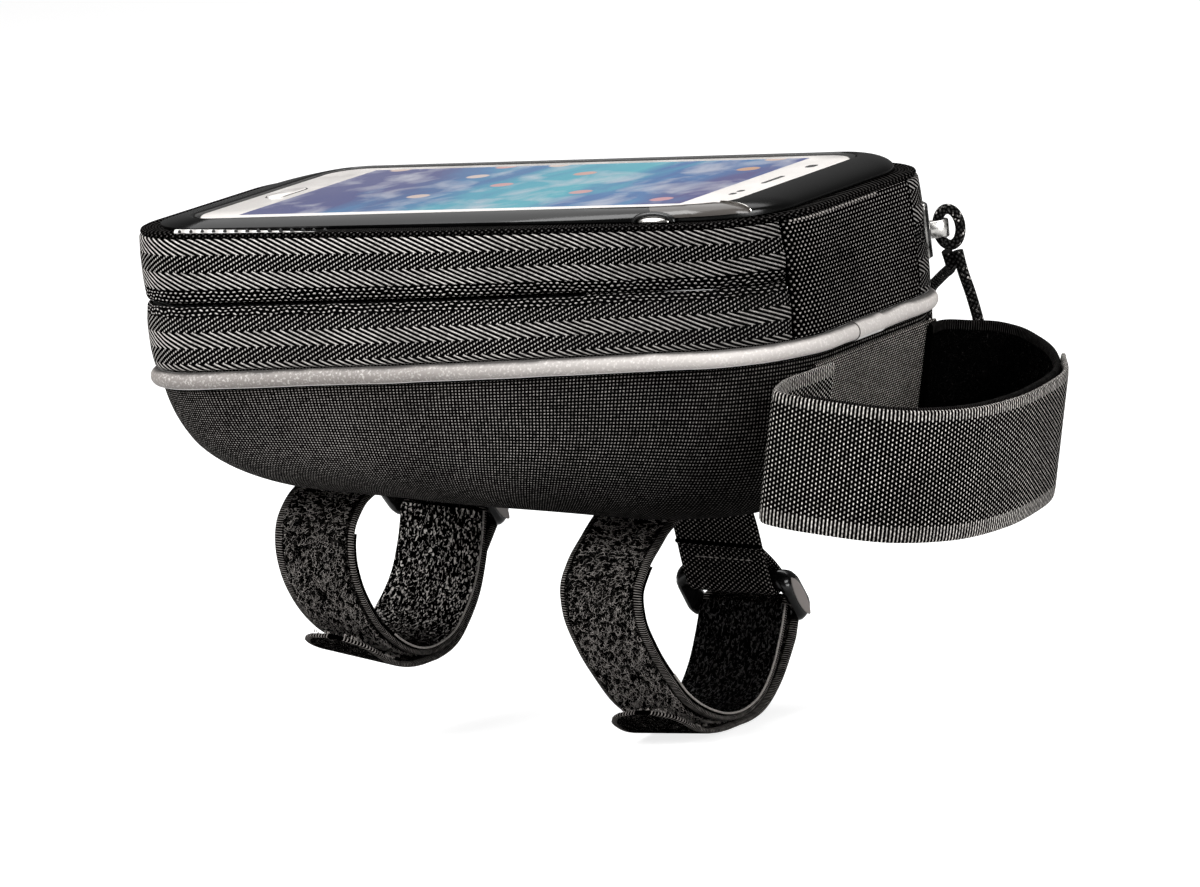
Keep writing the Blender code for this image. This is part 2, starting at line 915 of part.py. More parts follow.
# The free end past the lowest point, peeled away from the loop: run and rise.
tail_shape = [
    (0.0090, 0.0003),
    (0.0160, 0.0013),
    (0.0200, 0.0028),
    (0.0230, 0.0045),
    (0.0250, 0.0060),
    (0.0264, 0.0073),
    (0.0272, 0.0082),
]


class TubeStrap:
    """Everything that hangs under the shell at one x: strap, grip, ring and hanger."""

    def __init__(self, label, x, loop, ring, lean, low_tilt, stand_off):
        self.label = label
        self.x = x
        self.low_tilt = low_tilt
        self.stand_off = stand_off
        self.root_z = bottom_z(x) - gap - strap_thickness / 2
        turn = math.radians(lean)
        self.down = Vector((math.sin(turn), -math.cos(turn)))
        self.out = Vector((math.cos(turn), math.sin(turn)))
        self.ring = Vector((ring[0], self.root_z - ring[1]))
        self.low_bar = self.ring + self.down * ring_pitch / 2
        self.high_bar = self.ring - self.down * ring_pitch / 2
        self.wrap = ring_bar_radius + gap + strap_thickness / 2
        self.loop = [(across, self.root_z - drop) for across, drop in loop]
        self.drop = max(drop for across, drop in loop)

    def spot(self, x, across, z):
        """Straps leave the bottom square to its slope and lean another way lower down."""
        share = (self.root_z - z) / self.drop
        tilt = bottom_slope + (self.low_tilt - bottom_slope) * share ** 2
        return world(x, across, z - tilt * (x - self.x))

    def place(self, point, side):
        return self.spot(self.x + strap_width * (side - 0.5), point[0], point[1])

    def beside(self, bar, start):
        """Directions at a bar for a band that comes from start: along it, and to its left."""
        along = (bar - Vector(start)).normalized()
        return along, Vector((-along.y, along.x))

    def inner_run(self):
        """Middle line from the shell round the tube to the ring's lower bar."""
        along, left = self.beside(self.low_bar, self.loop[-1])
        meet = self.low_bar + left * self.wrap
        return smooth_path(self.loop + [tuple(meet)], strap_step)

    def turn_round(self, centre, first, second, flats=7):
        """Half a turn round a bar, from the side first by way of second."""
        return [
            tuple(
                centre
                + first * self.wrap * math.cos(math.pi * i / flats)
                + second * self.wrap * math.sin(math.pi * i / flats)
            )
            for i in range(1, flats + 1)
        ]

    def strap_path(self):
        inner = self.inner_run()
        along, left = self.beside(self.low_bar, self.loop[-1])
        over = self.turn_round(self.low_bar, left, along)
        low = min(range(len(inner)), key=lambda i: inner[i][1])
        last = len(inner) - 1
        away = []
        for i, point in enumerate(inner):
            share = max(0.0, (i - low) / (last - low))
            distance = strap_thickness + 1.3 * gap + self.stand_off * share ** 1.3
            away.append(offset_path(inner, distance)[i])
        ease = 0.2 * ring_pitch + 0.2 * (self.low_bar.y - away[low][1])
        back = [p for i, p in enumerate(away) if i >= low and p[1] < self.low_bar.y - ease]
        tail = [(away[low][0] - run, away[low][1] + rise) for run, rise in tail_shape]
        return inner + over + back[::-1] + tail

    def grip_path(self):
        inner = [p for p in self.inner_run() if p[1] < self.root_z - grip_start_drop]
        return offset_path(inner, -(strap_thickness + grip_thickness) / 2 - gap)[:-2]

    def hanger_path(self):
        """From the shell down to the ring, through it and a short way back up."""
        root = (hanger_root_y - hanger_sewn, self.root_z)
        bend = (hanger_root_y, self.root_z - strap_thickness / 2)
        along, left = self.beside(self.high_bar, bend)
        meet = self.high_bar - left * self.wrap
        down = smooth_path([root, bend, tuple(meet)], strap_step)
        around = self.turn_round(self.high_bar, -left, along)
        length = min(hanger_return, (self.root_z - self.high_bar.y) * 0.7)
        top = Vector(around[-1])
        close = 2 * self.wrap - strap_thickness - 2 * gap
        middle = top - along * 2.2 * ring_bar_radius - left * close * 0.35
        end = top - along * length - left * close * 0.95
        return down + around + smooth_path([around[-1], tuple(middle), tuple(end)], strap_step)[1:]

    def ring_loops(self):
        """A rounded frame of round bar, deeper at its ends, whose end faces are cut flat."""
        straight = strap_width / 2 + gap / 2
        rise = ring_pitch / 2 - ring_corner
        path = []
        flats = 5
        for end, side in ((1, -1), (1, 1), (-1, 1), (-1, -1)):
            for i in range(flats + 1):
                share = i / flats if end * side < 0 else 1 - i / flats
                turn = math.radians(90 * share)
                px = end * (straight + ring_corner * math.sin(turn))
                pd = side * (rise + ring_corner * math.cos(turn))
                flat = self.ring + self.down * pd
                path.append(self.spot(self.x + px, flat.x, flat.y))
        loops = tube_along(path, ring_bar_radius, 10, closed=True)
        reach = straight + ring_corner + ring_bar_radius - ring_face_cut
        out = Vector((0, self.out.x, self.out.y))
        for loop in loops:
            for point in loop:
                px = point.x - self.x
                plane = self.spot(self.x + px, self.ring.x, self.ring.y)
                share = min(max((abs(px) - straight) / ring_corner, 0.0), 1.0)
                point += out * (point - plane).dot(out) * ring_end_swell * share
                point.x = self.x + min(max(px, -reach), reach)
        return loops

    def build(self, webbing, rubber, plastic):
        band(f"{self.label}_tube_strap", self.strap_path(), strap_thickness, self.place, webbing, tip=strap_tip)
        band(f"{self.label}_strap_grip", self.grip_path(), grip_thickness, self.place, rubber)
        band(f"{self.label}_ring_hanger", self.hanger_path(), strap_thickness, self.place, webbing)
        sweep(f"{self.label}_ring", self.ring_loops(), plastic, closed=True)


class StemStrap:
    """The patch on the front end and the two long bands sewn to it."""

    def __init__(self):
        self.tilt = math.atan(end_draft)
        face_z = ledge_z
        face_x = half_length - shell_inset
        self.top = Vector((face_x, 0, face_z)) + self.axis() * -(end_strap_drop + ledge_z)
        self.face = self.top + self.out() * gap

    def axis(self):
        """Up along the sloping front end."""
        return Vector((math.sin(self.tilt), 0, math.cos(self.tilt)))

    def out(self):
        """Square to the front end, away from the bag."""
        return Vector((math.cos(self.tilt), 0, -math.sin(self.tilt)))

    def place(self, point, side):
        """point is (out from the front end, across); side 1 is the top edge."""
        spot = self.face + self.out() * point[0] + Vector((0, point[1], 0))
        spot = spot - self.axis() * end_strap_height * (1 - side)
        return world(*spot)

    def patch(self, finish):
        mid = anchor_thickness / 2
        half = anchor_width / 2
        band("stem_strap_patch", [(mid, -half), (mid, half)], anchor_thickness, self.place, finish)

    def outline(self):
        """Middle line of the outer band, from the patch's near edge round to the far side."""
        reach = end_loop_reach
        span = end_loop_half_span
        y = end_loop_offset
        start = anchor_thickness + gap + hook_thickness / 2
        return [
            (start, -anchor_width / 2 + end_strap_sewn),
            (start, -anchor_width / 2 - 0.08 * span),
            (start + 0.01 * reach, y - span * 0.86),
            (start + 0.07 * reach, y - span),
            (start + 0.18 * reach, y - span * 1.01),
            (0.40 * reach, y - span * 0.975),
            (0.70 * reach, y - span * 0.86),
            (0.90 * reach, y - span * 0.62),
            (1.00 * reach, y - span * 0.20),
            (0.985 * reach, y + span * 0.14),
            (0.93 * reach, y + span * 0.43),
            (0.78 * reach, y + span * 0.70),
        ]

    def far_leg(self):
        """Middle line of the inner band from the patch's far edge out to the side."""
        reach = end_loop_reach
        span = end_loop_half_span
        y = end_loop_offset
        start = anchor_thickness + gap + pile_thickness / 2
        return [
            (start, anchor_width / 2 - end_strap_sewn),
            (start + 0.015 * reach, anchor_width / 2 + 0.02 * span),
            (start + 0.11 * reach, y + span * 0.90),
            (start + 0.22 * reach, y + span * 0.985),
            (0.36 * reach, y + span * 0.985),
            (0.55 * reach, y + span * 0.88),
        ]

    def build(self, webbing, pile, patch):
        self.patch(patch)
        outer = smooth_path(self.outline(), end_strap_step)
        band("stem_strap_hook", outer, hook_thickness, self.place, webbing)
        step = (hook_thickness + pile_thickness) / 2 + 3 * gap
        turned = offset_path(outer, -step)
        far_edge = end_loop_offset + end_loop_half_span * 0.42
        shared = [p for p in turned if p[0] > 0.2 * end_loop_reach and p[1] < far_edge]
        path = smooth_path(self.far_leg() + shared[::-3], end_strap_step)
        band("stem_strap_pile", path, pile_thickness, self.place, pile)


def main():
    clear_scene()
    shell_cloth = material("laminated_polyester", (0.013, 0.012, 0.012), 0.75)
    tape_cloth = material("herringbone_tape", (0.035, 0.033, 0.031), 0.7)
    gusset_cloth = material("coarse_weave", (0.02, 0.019, 0.018), 0.8)
    webbing = material("nylon_webbing", (0.06, 0.057, 0.053), 0.7)
    pile = material("loop_pile", (0.016, 0.015, 0.014), 0.95)
    grip = material("grip_rubber", (0.01, 0.01, 0.01), 0.35)
    reflective = material("reflective_cloth", (0.50, 0.47, 0.44), 0.55)
    moulded = material("moulded_frame", (0.012, 0.012, 0.012), 0.35)
    gloss = material("acetal", (0.01, 0.01, 0.01), 0.2)
    clear = material("clear_film", (0.9, 0.9, 0.9), 0.05, alpha=0.25)
    steel = material("bright_zinc", (0.75, 0.74, 0.72), 0.25, 1.0)
    white = material("phone_white", (0.8, 0.78, 0.76), 0.3)
    display = material("phone_display", (0.10, 0.16, 0.32), 0.1)
    cord_cloth = material("braided_cord", (0.02, 0.02, 0.02), 0.8)

    lid = bpy.data.objects.new("lid_pivot", None)
    lid.location = world(half_length, 0, wall_top(half_length))
    slider = bpy.data.objects.new("slider_pivot", None)
    slider.location = world(*corner_frame())
    for empty in (lid, slider):
        bpy.context.scene.collection.objects.link(empty)

    base_shell(shell_cloth)
    rim_piping(reflective)
    zip_pieces(None, lid, tape_cloth, gloss, steel)
    gusset_pieces(None, gusset_cloth, tape_cloth)

    slider_body(gloss, slider)
    slider_bridge(steel, slider)
    cord_hitch(cord_cloth, slider)
    cord_strand("pull_cord_front", cord_route_front, cord_cloth, slider)
    cord_strand("pull_cord_rear", cord_route_rear, cord_cloth, slider)
    cord_knot(cord_cloth, slider)

    lid_border(shell_cloth, lid)
    lid_frame(moulded, lid)
    slab("window_film", window_length - 2 * gap, window_width - 2 * gap, window_corner_radius - gap,
         film_top_z - film_thickness, film_top_z, clear, lid)
    phone_sleeve(shell_cloth, lid)
    phone_body(white, lid)
    slab("phone_display", display_length, display_width, 0.0013,
         phone_top_z - display_depth, phone_top_z, display, lid)
    key_shape("phone_home_key", 0.0, phone_top_z - home_key_depth, phone_top_z, white, lid)
    cable_port(gloss, steel, lid)

    rear = TubeStrap("rear", rear_strap_x, rear_loop, rear_ring_place, rear_ring_lean,
                     rear_low_tilt, rear_stand_off)
    front = TubeStrap("front", front_strap_x, front_loop, front_ring_place, front_ring_lean,
                      front_low_tilt, front_stand_off)
    for strap in (rear, front):
        strap.build(pile, grip, gloss)
    StemStrap().build(webbing, pile, webbing)


main()
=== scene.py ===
# %% [markdown]
# # A top tube phone bag for a bicycle
# The bag is a moulded tray with a zipped lid. A phone lies under the lid's clear window,
# two straps hold the tray on the top tube and a third one holds it to the stem.
# The hard parts come packed from CAD. This lesson sews, moulds and weaves the rest
# around them, piece by piece, and lights the result in a plain studio.

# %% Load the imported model
import math

import bmesh
import bpy
import numpy as np
from mathutils import Matrix, Vector, noise

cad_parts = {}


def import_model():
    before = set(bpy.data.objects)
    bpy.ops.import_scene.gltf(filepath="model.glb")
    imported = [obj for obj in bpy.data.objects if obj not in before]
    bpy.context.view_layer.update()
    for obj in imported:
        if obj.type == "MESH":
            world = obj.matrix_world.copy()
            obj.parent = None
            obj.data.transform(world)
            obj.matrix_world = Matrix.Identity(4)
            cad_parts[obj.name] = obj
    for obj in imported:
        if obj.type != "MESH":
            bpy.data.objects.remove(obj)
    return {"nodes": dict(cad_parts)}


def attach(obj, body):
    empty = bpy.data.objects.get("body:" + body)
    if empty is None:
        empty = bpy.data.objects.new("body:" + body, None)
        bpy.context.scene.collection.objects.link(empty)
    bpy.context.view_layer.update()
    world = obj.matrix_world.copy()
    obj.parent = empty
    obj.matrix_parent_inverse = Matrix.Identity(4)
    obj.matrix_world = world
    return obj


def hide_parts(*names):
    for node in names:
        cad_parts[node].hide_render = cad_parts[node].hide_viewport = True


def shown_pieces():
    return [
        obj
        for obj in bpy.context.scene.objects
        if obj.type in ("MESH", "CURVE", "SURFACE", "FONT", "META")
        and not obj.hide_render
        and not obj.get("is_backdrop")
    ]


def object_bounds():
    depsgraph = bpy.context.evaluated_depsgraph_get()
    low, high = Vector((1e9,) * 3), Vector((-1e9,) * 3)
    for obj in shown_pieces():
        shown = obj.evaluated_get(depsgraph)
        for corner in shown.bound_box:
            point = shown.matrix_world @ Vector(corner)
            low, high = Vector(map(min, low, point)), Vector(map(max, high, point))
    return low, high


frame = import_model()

cad_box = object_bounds()

# %% [markdown]
# ## Driving dimensions
# Each piece is built from the same few measures as its solid, so a seam of the tray meets
# the piping without any fitting by eye. Lengths are in metres. Heights are given above
# the plane of the rim, which lies one shell depth above the tube.

# %% Measures of the real bag
body_length = 0.1895
body_width = 0.098
corner_radius = 0.0245
side_bulge = 0.0023
wall_height = 0.0317
wall_taper = -0.027
shell_depth = 0.0399
bottom_slope = 0.1116
shell_wall = 0.003
end_draft = 0.25
piping_radius = 0.0024
gap = 0.0003
half_length = body_length / 2
half_width = body_width / 2
ledge_z = -2 * piping_radius - gap


def world(x, y, z):
    """A place from heights above the rim plane."""
    return Vector((x, y, z + shell_depth))


def wall_top(x):
    return wall_height + wall_taper * x


def slit_z(x):
    return wall_top(x) / 2


def bottom_z(x):
    return -(shell_depth + bottom_slope * x)


# %% [markdown]
# ## The plan of the rim
# Everything round the bag follows one line: a rectangle with round corners whose long
# sides swell a little, as sewn cloth does over a curved tray. A number s walks round it,
# from 0 to 8, with a corner at each even step. A closed curve object could carry the same
# line, but a function gives any point and any inset of it exactly.

# %% Outline of the bag
def outline_point(s, left, right, width, radius, bulge=0.0):
    step = int(s) % 8
    t = s - int(s)
    ax = right - radius
    bx = left + radius
    y = width - radius
    if step % 2 == 0:
        cx = ax if step in (0, 6) else bx
        cy = y if step in (0, 2) else -y
        turn = math.radians(90 * (step / 2 + t))
        return cx + radius * math.cos(turn), cy + radius * math.sin(turn)
    if step in (3, 7):
        along = y * (1 - 2 * t)
        return (left, along) if step == 3 else (right, -along)
    x = ax + (bx - ax) * t if step == 1 else bx + (ax - bx) * t
    swell = bulge * math.cos(math.pi * (x - (ax + bx) / 2) / (ax - bx)) ** 2
    return (x, width + swell) if step == 1 else (x, -width - swell)


def rim_point(s, inset):
    return outline_point(s, -half_length + inset, half_length - inset,
                         half_width - inset, corner_radius - inset, side_bulge)


def walk(start, end, corner=18, side=70, front=24):
    """Values of s from start to end, closer together where the line bends."""
    values = []
    for step in range(math.floor(start), math.ceil(end)):
        parts = corner if step % 2 == 0 else front if step % 8 in (3, 7) else side
        values += [step + i / parts for i in range(parts)]
    return [start] + [s for s in values if start + 1e-4 < s < end - 1e-4] + [end]


turn_round = walk(0, 8)[:-1]
corner_arc = corner_radius * math.pi / 2
near_seam = 6 + 59.0 / 90
free_tape = 48.0 / 90
print("points round the rim:", len(turn_round))

# %% [markdown]
# ## The view
# The picture was fitted by least squares to points on the rim, the window and the straps:
# the lens looks down by 7.6 degrees from 29.6 degrees to the right of the bag's side, and
# is rolled by 6.8 degrees. A long lens 2.5 metres away keeps the parallels nearly
# parallel, as in the photograph.

# %% Camera
picture_width = 1200
picture_height = 887
pixels_per_metre = 3987.0
azimuth, elevation, roll = (math.radians(a) for a in (29.605, 7.623, 6.81))
camera_distance = 2.5
target_pixel = (541.16, 327.26)

right = Vector((math.cos(azimuth), math.sin(azimuth), 0))
back = Vector((math.sin(azimuth) * math.cos(elevation),
               -math.cos(azimuth) * math.cos(elevation), math.sin(elevation)))
up = back.cross(right)
rolled_right = right * math.cos(roll) - up * math.sin(roll)
rolled_up = right * math.sin(roll) + up * math.cos(roll)

lens = bpy.data.cameras.new("studio_camera")
lens.sensor_width = 36
lens.lens = lens.sensor_width * camera_distance * pixels_per_metre / picture_width
lens.shift_x = (picture_width / 2 - target_pixel[0]) / picture_width
lens.shift_y = -(picture_height / 2 - target_pixel[1]) / picture_width
camera = bpy.data.objects.new("studio_camera", lens)
facing = Matrix((rolled_right, rolled_up, back)).transposed().to_4x4()
camera.matrix_world = Matrix.Translation(world(0, 0, 0) + back * camera_distance) @ facing
bpy.context.scene.collection.objects.link(camera)
bpy.context.scene.camera = camera
print("lens %.0f mm" % lens.lens)

# %% [markdown]
# ## Skins, and a map in real millimetres
# Most pieces here are bands and tubes: rows of points, joined by quads. The same function
# makes all of them and gives each a map whose numbers are real millimetres, along the
# piece and across it. A weave drawn on that map keeps its thread spacing on any piece
# and follows its bends, which a pattern in object space would cut across.

# %% Mesh helpers
def skin(name, rows, finish, ring=True, closed=False, sharp=40):
    """Joins rows of points. ring closes each row, closed joins the last row to the first."""
    points = np.array([[tuple(p) for p in row] for row in rows], float)
    count, width = points.shape[:2]
    i = np.arange(count if closed else count - 1)
    j = np.arange(width if ring else width - 1)
    i, j = (g.ravel() for g in np.meshgrid(i, j, indexing="ij"))
    i2, j2 = (i + 1) % count, (j + 1) % width
    quads = np.stack([i * width + j, i * width + j2, i2 * width + j2, i2 * width + j], 1)
    faces = quads.tolist()
    if ring and not closed:
        faces.append(list(range(width))[::-1])
        faces.append([(count - 1) * width + k for k in range(width)])
    mesh = bpy.data.meshes.new(name)
    mesh.from_pydata(points.reshape(-1, 3).tolist(), [], faces)

    following = np.roll(points, -1, axis=0)
    along = np.linalg.norm(following - points, axis=2).mean(axis=1) * 1000
    u = np.concatenate([[0.0], np.cumsum(along)])
    beside = np.roll(points, -1, axis=1)
    across = np.linalg.norm(beside - points, axis=2).mean(axis=0) * 1000
    v = np.concatenate([[0.0], np.cumsum(across)])
    corner_u = np.stack([u[i], u[i], u[i + 1], u[i + 1]], 1)
    corner_v = np.stack([v[j], v[j + 1], v[j + 1], v[j]], 1)
    flat = np.zeros((sum(len(f) for f in faces), 2))
    flat[: corner_u.size] = np.stack([corner_u.ravel(), corner_v.ravel()], 1)
    layer = mesh.uv_layers.new(name="real_mm")
    layer.uv.foreach_set("vector", flat.astype(np.float32).ravel())
    return finished(name, mesh, finish, sharp)


def finished(name, mesh, finish, sharp=40):
    """Shades a mesh smooth, gives it its finish and puts it in the scene."""
    shape = bmesh.new()
    shape.from_mesh(mesh)
    bmesh.ops.recalc_face_normals(shape, faces=shape.faces)
    shape.to_mesh(mesh)
    shape.free()
    mesh.shade_smooth()
    mesh.set_sharp_from_angle(angle=math.radians(sharp))
    mesh.materials.append(finish)
    piece = bpy.data.objects.new(name, mesh)
    bpy.context.scene.collection.objects.link(piece)
    return piece


def belongs(piece, body, slot, *nodes):
    """The piece rides on a body and stands for CAD nodes, which it hides. slot is not used."""
    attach(piece, body)
    if nodes:
        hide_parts(*nodes)
    return piece


def step_lengths(path):
    return [(Vector(b) - Vector(a)).length for a, b in zip(path, path[1:])]


def ring_faces(first, rings, sides):
    """The quads between rings of points, where the first point has the index first."""
    faces = []
    for i in range(rings - 1):
        for k in range(sides):
            a, b = first + i * sides + k, first + i * sides + (k + 1) % sides
            faces.append((a, b, b + sides, a + sides))
    return faces


def smooth_route(points, spacing):
    """Points about spacing apart on a smooth curve through the given ones."""
    last = len(points) - 1
    chords = [(points[i + 1] - points[i]).length for i in range(last)]
    slopes = [(points[i + 1] - points[i]) / chords[i] for i in range(last)]
    tangents = [slopes[0]]
    for i in range(1, last):
        before, after = chords[i - 1], chords[i]
        tangents.append((slopes[i - 1] * after + slopes[i] * before) / (before + after))
    tangents.append(slopes[-1])
    route = []
    for i in range(last):
        parts = max(1, round(chords[i] / spacing))
        for k in range(parts):
            t = k / parts
            near = 1 - t * t * (3 - 2 * t)
            route.append(points[i] * near + points[i + 1] * (1 - near)
                         + tangents[i] * t * (1 - t) ** 2 * chords[i]
                         + tangents[i + 1] * t * t * (t - 1) * chords[i])
    return route + [points[-1]]


def tube_rows(path, radius, sides, closed=False):
    """Rings round a path, each turned as little as possible from the one before."""
    rows = []
    across = None
    for i, point in enumerate(path):
        ahead = path[(i + 1) % len(path)] if closed or i < len(path) - 1 else point
        behind = path[i - 1] if closed or i else point
        direction = (ahead - behind).normalized()
        guide = across or (Vector((0, 0, 1)) if abs(direction.z) < 0.9 else Vector((1, 0, 0)))
        across = (guide - direction * guide.dot(direction)).normalized()
        side = direction.cross(across)
        rows.append([point + (across * math.cos(a) + side * math.sin(a)) * radius
                     for a in (2 * math.pi * k / sides for k in range(sides))])
    return rows


# %% [markdown]
# ## Colours and nodes
# Paint and cloth are picked as sRGB hex values, as in any colour picker, and one function
# turns them to the linear light that the renderer adds up. Another adds a node, sets it
# and links it in one call, so a weave can be read as a few lines of arithmetic.

# %% Material helpers
def linear(hex_colour):
    """An sRGB hex colour as linear RGBA."""
    parts = [int(hex_colour[i:i + 2], 16) / 255 for i in (1, 3, 5)]
    return (*(c / 12.92 if c <= 0.04045 else ((c + 0.055) / 1.055) ** 2.4 for c in parts), 1.0)


def add(tree, kind, *values, named=None, **settings):
    """Adds one node: values fill its sockets in order, named ones by name, settings its choices.

    A kind in capitals names the operation of a Math node.
    """
    if kind.isupper():
        kind, settings["operation"] = "Math", kind
    node = tree.nodes.new("ShaderNode" + kind)
    for key, value in settings.items():
        setattr(node, key, value)
    for socket, value in [*enumerate(values), *(named or {}).items()]:
        if isinstance(value, bpy.types.Node):
            value = value.outputs[0]
        if isinstance(value, bpy.types.NodeSocket):
            tree.links.new(value, node.inputs[socket])
        elif value is not None:
            node.inputs[socket].default_value = value
    return node


def new_finish(name, colour=None, roughness=0.5, **sockets):
    """An empty finish: its tree and its Principled shader, with the even values set."""
    finish = bpy.data.materials.new(name)
    finish.use_nodes = True
    tree = finish.node_tree
    shader = tree.nodes["Principled BSDF"]
    if colour:
        shader.inputs["Base Color"].default_value = linear(colour)
    shader.inputs["Roughness"].default_value = roughness
    for socket, value in sockets.items():
        shader.inputs[socket.replace("_", " ")].default_value = value
    return finish, tree, shader


def map_mm(tree):
    """The real-millimetre map: along the piece and across it."""
    return add(tree, "SeparateXYZ", add(tree, "UVMap", uv_map="real_mm")).outputs[:2]


def wave(tree, place, period):
    """A smooth wave from 0 to 1 with a real period in millimetres."""
    turns = add(tree, "MULTIPLY", place, 2 * math.pi / period)
    swing = add(tree, "SINE", turns)
    return add(tree, "MULTIPLY_ADD", swing, 0.5, 0.5).outputs[0]


def emboss(tree, shader, height, relief_mm):
    """Lets the height, from 0 to 1, stand relief_mm proud in the shading."""
    bump = add(tree, "Bump", named={"Strength": 1.0, "Distance": relief_mm / 1000, "Height": height})
    tree.links.new(bump.outputs["Normal"], shader.inputs["Normal"])


def smudge(tree, shader, scale, detail, low, high, spots=(0.3, 0.7)):
    """Soft smudges, as on handled plastic and glass: the roughness runs between low and high."""
    where = add(tree, "TexCoord").outputs["Object"]
    marks = add(tree, "TexNoise", where, named={"Scale": scale, "Detail": detail})
    gloss = add(tree, "MapRange", marks, *spots, low, high)
    tree.links.new(gloss.outputs[0], shader.inputs["Roughness"])


def uneven(tree, thread_mm, low, high, area_mm=20.0, front=1.0):
    """How bright each thread is: single ones differ, and painted shade dims them towards the front."""
    where = add(tree, "TexCoord").outputs["Object"]
    fine = add(tree, "TexNoise", where, named={"Scale": 1000 / thread_mm, "Detail": 1.0})
    slow = add(tree, "TexNoise", where, named={"Scale": 1000 / area_mm, "Detail": 2.0})
    threads = add(tree, "MapRange", fine, 0.3, 0.7, low, high)
    areas = add(tree, "MapRange", slow, 0.3, 0.7, 0.75, 1.15)
    place = add(tree, "SeparateXYZ", where).outputs[0]
    # Painted shade: from x = 0 the threads dim towards the front end, down to the share front.
    painted_shade = add(tree, "MapRange", place, 0.0, 0.065, 1.0, front)
    patchy = add(tree, "MULTIPLY", threads, areas)
    return add(tree, "MULTIPLY", patchy, painted_shade)


def dye(tree, shader, height, ground, thread, spread, shine=0.3):
    """Pale thread tops over near-black gaps. Only the tops shine, as the gaps swallow light."""
    top = add(tree, "MapRange", height, 0.54, 0.94, interpolation_type="SMOOTHSTEP")
    light = add(tree, "MULTIPLY", top, spread, use_clamp=True)
    colour = add(tree, "MixRGB", light, linear(ground), linear(thread))
    tree.links.new(colour.outputs[0], shader.inputs["Base Color"])
    gloss = add(tree, "MULTIPLY", light, shine)
    tree.links.new(gloss.outputs[0], shader.inputs["Specular IOR Level"])

# %% [markdown]
# ## Braided cord
# The zip pull is a 2.8 mm cord: a polyester sleeve braided over a core, black with a few
# pale tracer yarns. Two sets of yarns run round it in opposite screws, so the product of two
# slanted waves gives the diamonds between them. Cells picked at random along one set
# become the pale flecks. The dark gaps return no light at all, so the braid stays black.

# %% Finish of the cord
cord_diameter = 0.0028


def braided_polyester():
    """Braided sleeve: black diamonds with pale flecks along them, so it reads as many yarns."""
    finish, tree, shader = new_finish("braided_polyester_cord", roughness=0.7)
    along, round_cord = map_mm(tree)
    yarn_mm = 0.73
    one = add(tree, "ADD", along, round_cord)
    other = add(tree, "SUBTRACT", along, round_cord)
    braid = add(tree, "MULTIPLY", wave(tree, one, yarn_mm * 2), wave(tree, other, yarn_mm * 2))
    yarns = [add(tree, "MULTIPLY", way, 1 / yarn_mm) for way in (one, other)]
    cells = add(tree, "CombineXYZ", *(add(tree, "FLOOR", way) for way in yarns))
    chance = add(tree, "TexWhiteNoise", cells)
    fleck = add(tree, "GREATER_THAN", chance, 0.86)
    tracer = add(tree, "MULTIPLY", fleck, braid)
    plain = add(tree, "MixRGB", braid, linear("#030303"), linear("#2b2a29"))
    colour = add(tree, "MixRGB", tracer, plain, linear("#e2ddd8"))
    tree.links.new(colour.outputs[0], shader.inputs["Base Color"])
    gloss = add(tree, "MULTIPLY", braid, 0.3)
    tree.links.new(gloss.outputs[0], shader.inputs["Specular IOR Level"])
    emboss(tree, shader, braid.outputs[0], 0.25)
    return finish


cord_finish = braided_polyester()

# %% [markdown]
# ## The zip cord
# The cord is hitched round the slider's bridge and its two strands hang down to one knot
# behind the corner. Each strand is a fixed length of limp cord: it leaves the hitch
# downwards, swings out round the corner of the bag and hangs. A mesh tube is used, not a
# beveled curve, because the braid needs a map in millimetres along and round it.

# %% Two strands and their knot
front_route = [
    (0.09816, 0.04057, 0.00847),
    (0.09850, 0.04140, 0.00350),
    (0.09870, 0.04380, -0.00250),
    (0.09830, 0.04720, -0.01000),
    (0.09740, 0.05060, -0.01800),
    (0.09580, 0.05360, -0.02700),
    (0.09350, 0.05560, -0.03400),
    (0.09130, 0.05662, -0.03680),
]
rear_route = [
    (0.09516, 0.04051, 0.00847),
    (0.09500, 0.04200, 0.00560),
    (0.09320, 0.04540, 0.00360),
    (0.08960, 0.04920, 0.00180),
    (0.08520, 0.05320, -0.00060),
    (0.08160, 0.05610, -0.00290),
    (0.07940, 0.05760, -0.00620),
    (0.07820, 0.05840, -0.01200),
    (0.07820, 0.05870, -0.02000),
    (0.08000, 0.05860, -0.02800),
    (0.08330, 0.05810, -0.03440),
    (0.08550, 0.05770, -0.03680),
]
knot_place = world(0.08850, 0.05730, -0.03900)


def trefoil(centre, size, count=60):
    """The path of an overhand knot pulled tight into a ball."""
    path = []
    for i in range(count):
        t = 2 * math.pi * i / count
        x = math.sin(t) + 2 * math.sin(2 * t)
        y = math.cos(t) - 2 * math.cos(2 * t)
        path.append(centre + Vector((x * 0.33, y * 0.33, -math.sin(3 * t) * 0.62)) * size)
    return path


knot = skin("cord_knot_tied", tube_rows(trefoil(knot_place, 0.0024), cord_diameter * 0.42, 12, True),
            cord_finish, closed=True)
belongs(knot, "slider", "cord_braid", "cord_knot")
for name, points in (("pull_cord_front", front_route), ("pull_cord_rear", rear_route)):
    path = smooth_route([world(*p) for p in points], 0.0012)
    strand = skin(name + "_braided", tube_rows(path, cord_diameter / 2, 16), cord_finish)
    belongs(strand, "slider", "cord_braid", name)
    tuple(path[0])
    sum(step_lengths(path))
    print(name, "%.1f mm" % (sum(step_lengths(path)) * 1000))

# %% [markdown]
# ## Studio
# The photograph is lit by large soft sources, mostly from above, in front of white. A wide
# pale floor fills the view. It glows a little for the camera alone, so it reads as white
# without more light on the bag, and still shows the bag's soft shadow.

# %% Floor, sky and lamps
half_floor = 6.0
floor_drop = 0.0006


